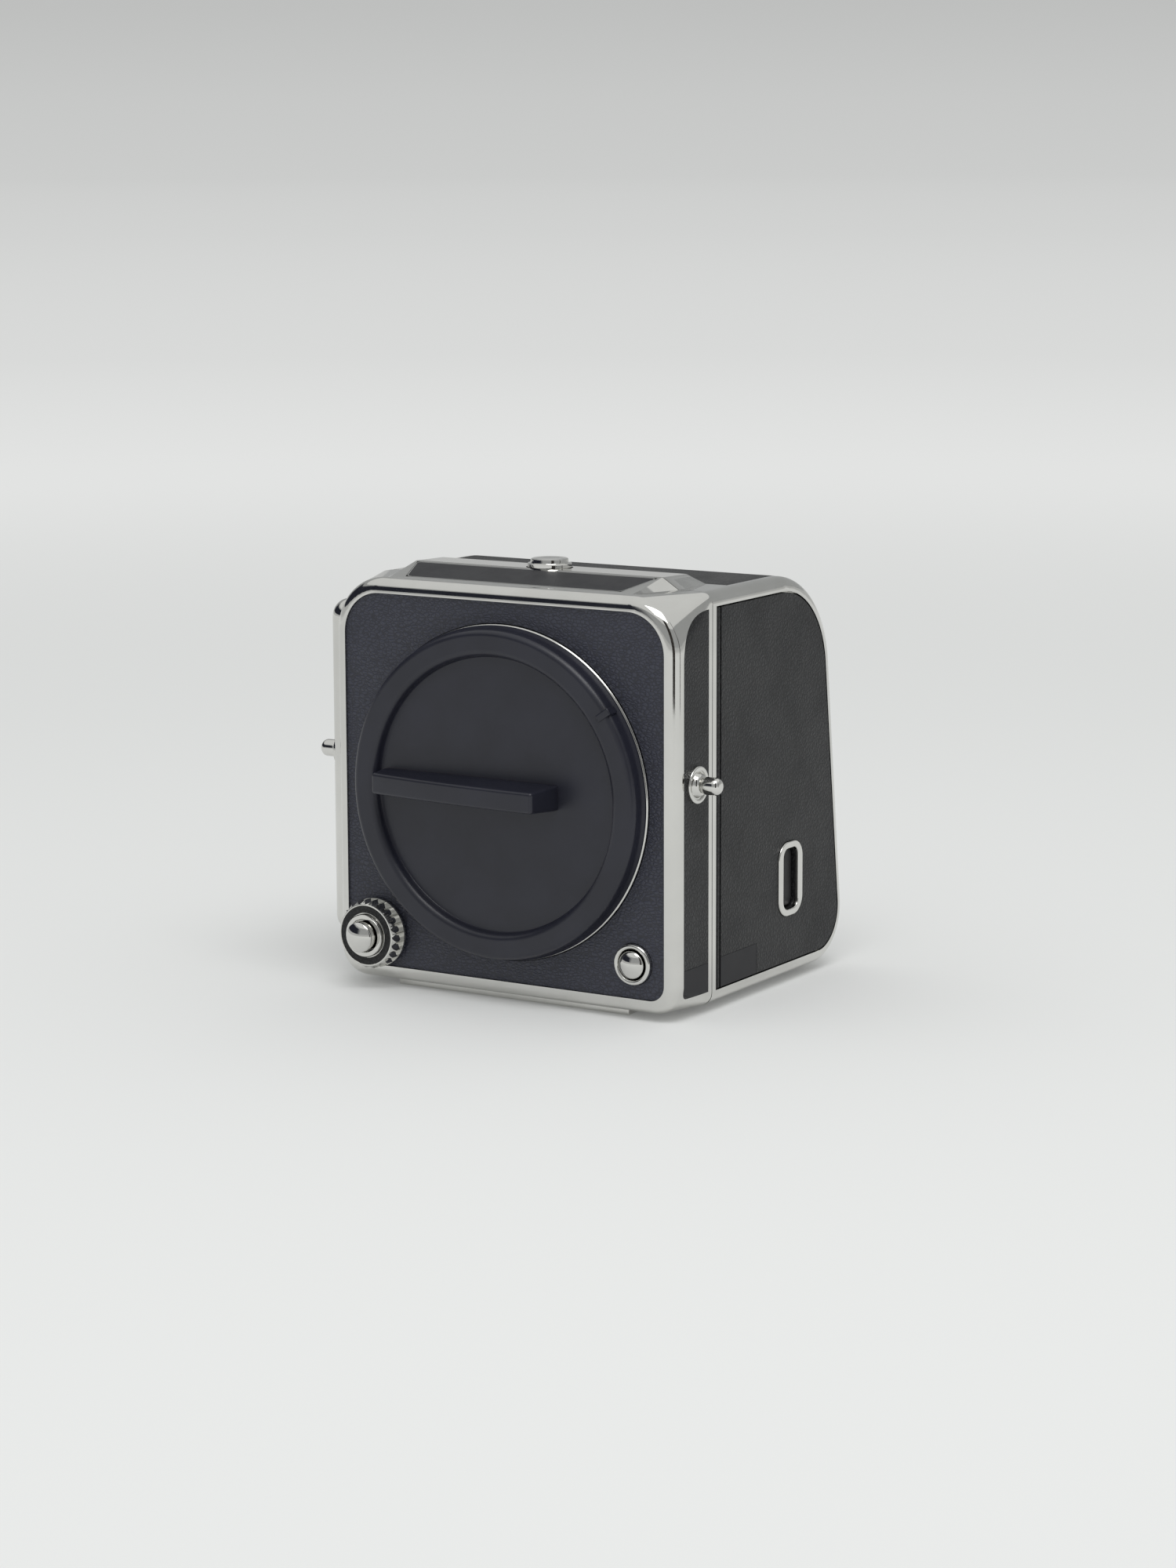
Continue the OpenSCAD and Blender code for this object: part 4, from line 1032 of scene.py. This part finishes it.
# %% Turn the back's release
KNOB_TOP = 4.2
CATCH_FRONT, CATCH_REAR = 8.0, 14.1
CATCH_THICK, CATCH_ROUND = 1.5, 0.3

knob_low, (knob_x, knob_y, _), knob_high = box_mm("back_release")
knob_outline = [(0, -4.4), (2, -4.4), (2, 2.2), (4.65, 2.2), (4.8, 2.35), (4.8, 3.05), (4.65, 3.2),
                (4.2, 3.28), (4.1, 3.4), (4.1, 3.9), (4.02, 4.1), (3.8, KNOB_TOP), (2.6, 4.13), (0, 4.1)]
release = stand(turned("back_release_knob", knob_outline), (knob_x, knob_y, knob_high[2] - KNOB_TOP), "+Z")
catch = block("back_release_bar", (knob_low[0], CATCH_FRONT, knob_low[2]),
              (knob_high[0], CATCH_REAR, knob_low[2] + CATCH_THICK))
apply_modifier(catch, "Edge", "BEVEL", width=CATCH_ROUND * MM, segments=2)
smooth(release, angle=40)
smooth(catch)
join([release, catch])
wear(release, "back_release_push", "polished_metal", "back_release")
print(release.name, len(release.data.polygons), "faces with its bar")

# %% [markdown]
# ## Door, screen, keys and base
# The door's oblong bezel, the screen and the keys keep the shape of their solids, with rounded edges as
# mouldings have. Cut plates and screws only lose their burr.

# %% Dress the back and the base
BURR = 0.12
KEY_ROUND = 0.35
BEZEL_ROUND = 0.25

dress("door_bezel", round_mm=BEZEL_ROUND, segments=3)
for node in ("door_button", "screen_housing", "key_1", "key_2", "key_3", "key_4", "key_5"):
    dress(node, round_mm=KEY_ROUND, segments=3)
dress("tripod_plate", round_mm=BURR, material="polished_metal")
for node in ("side_door", "rear_feet", "mount_flange", "tripod_bush", "flange_screws", "plate_screws",
             "battery"):
    dress(node, round_mm=BURR)

# %% [markdown]
# ## What stays as it is
# The pieces inside keep their solids and take the finish of their slot. The screen's panel is the
# exception: it is as smooth as a sensor, so it takes the finish of the chips.

# %% Paint the remaining solids
kept = [node for node, piece in frame["nodes"].items() if not piece.hide_render]
for node in kept:
    data = frame["nodes"][node].data
    data.materials.clear()
    data.materials.append(finishes["chip" if node == "screen_panel" else slot_of[node]])
print("painted as they are:", kept)
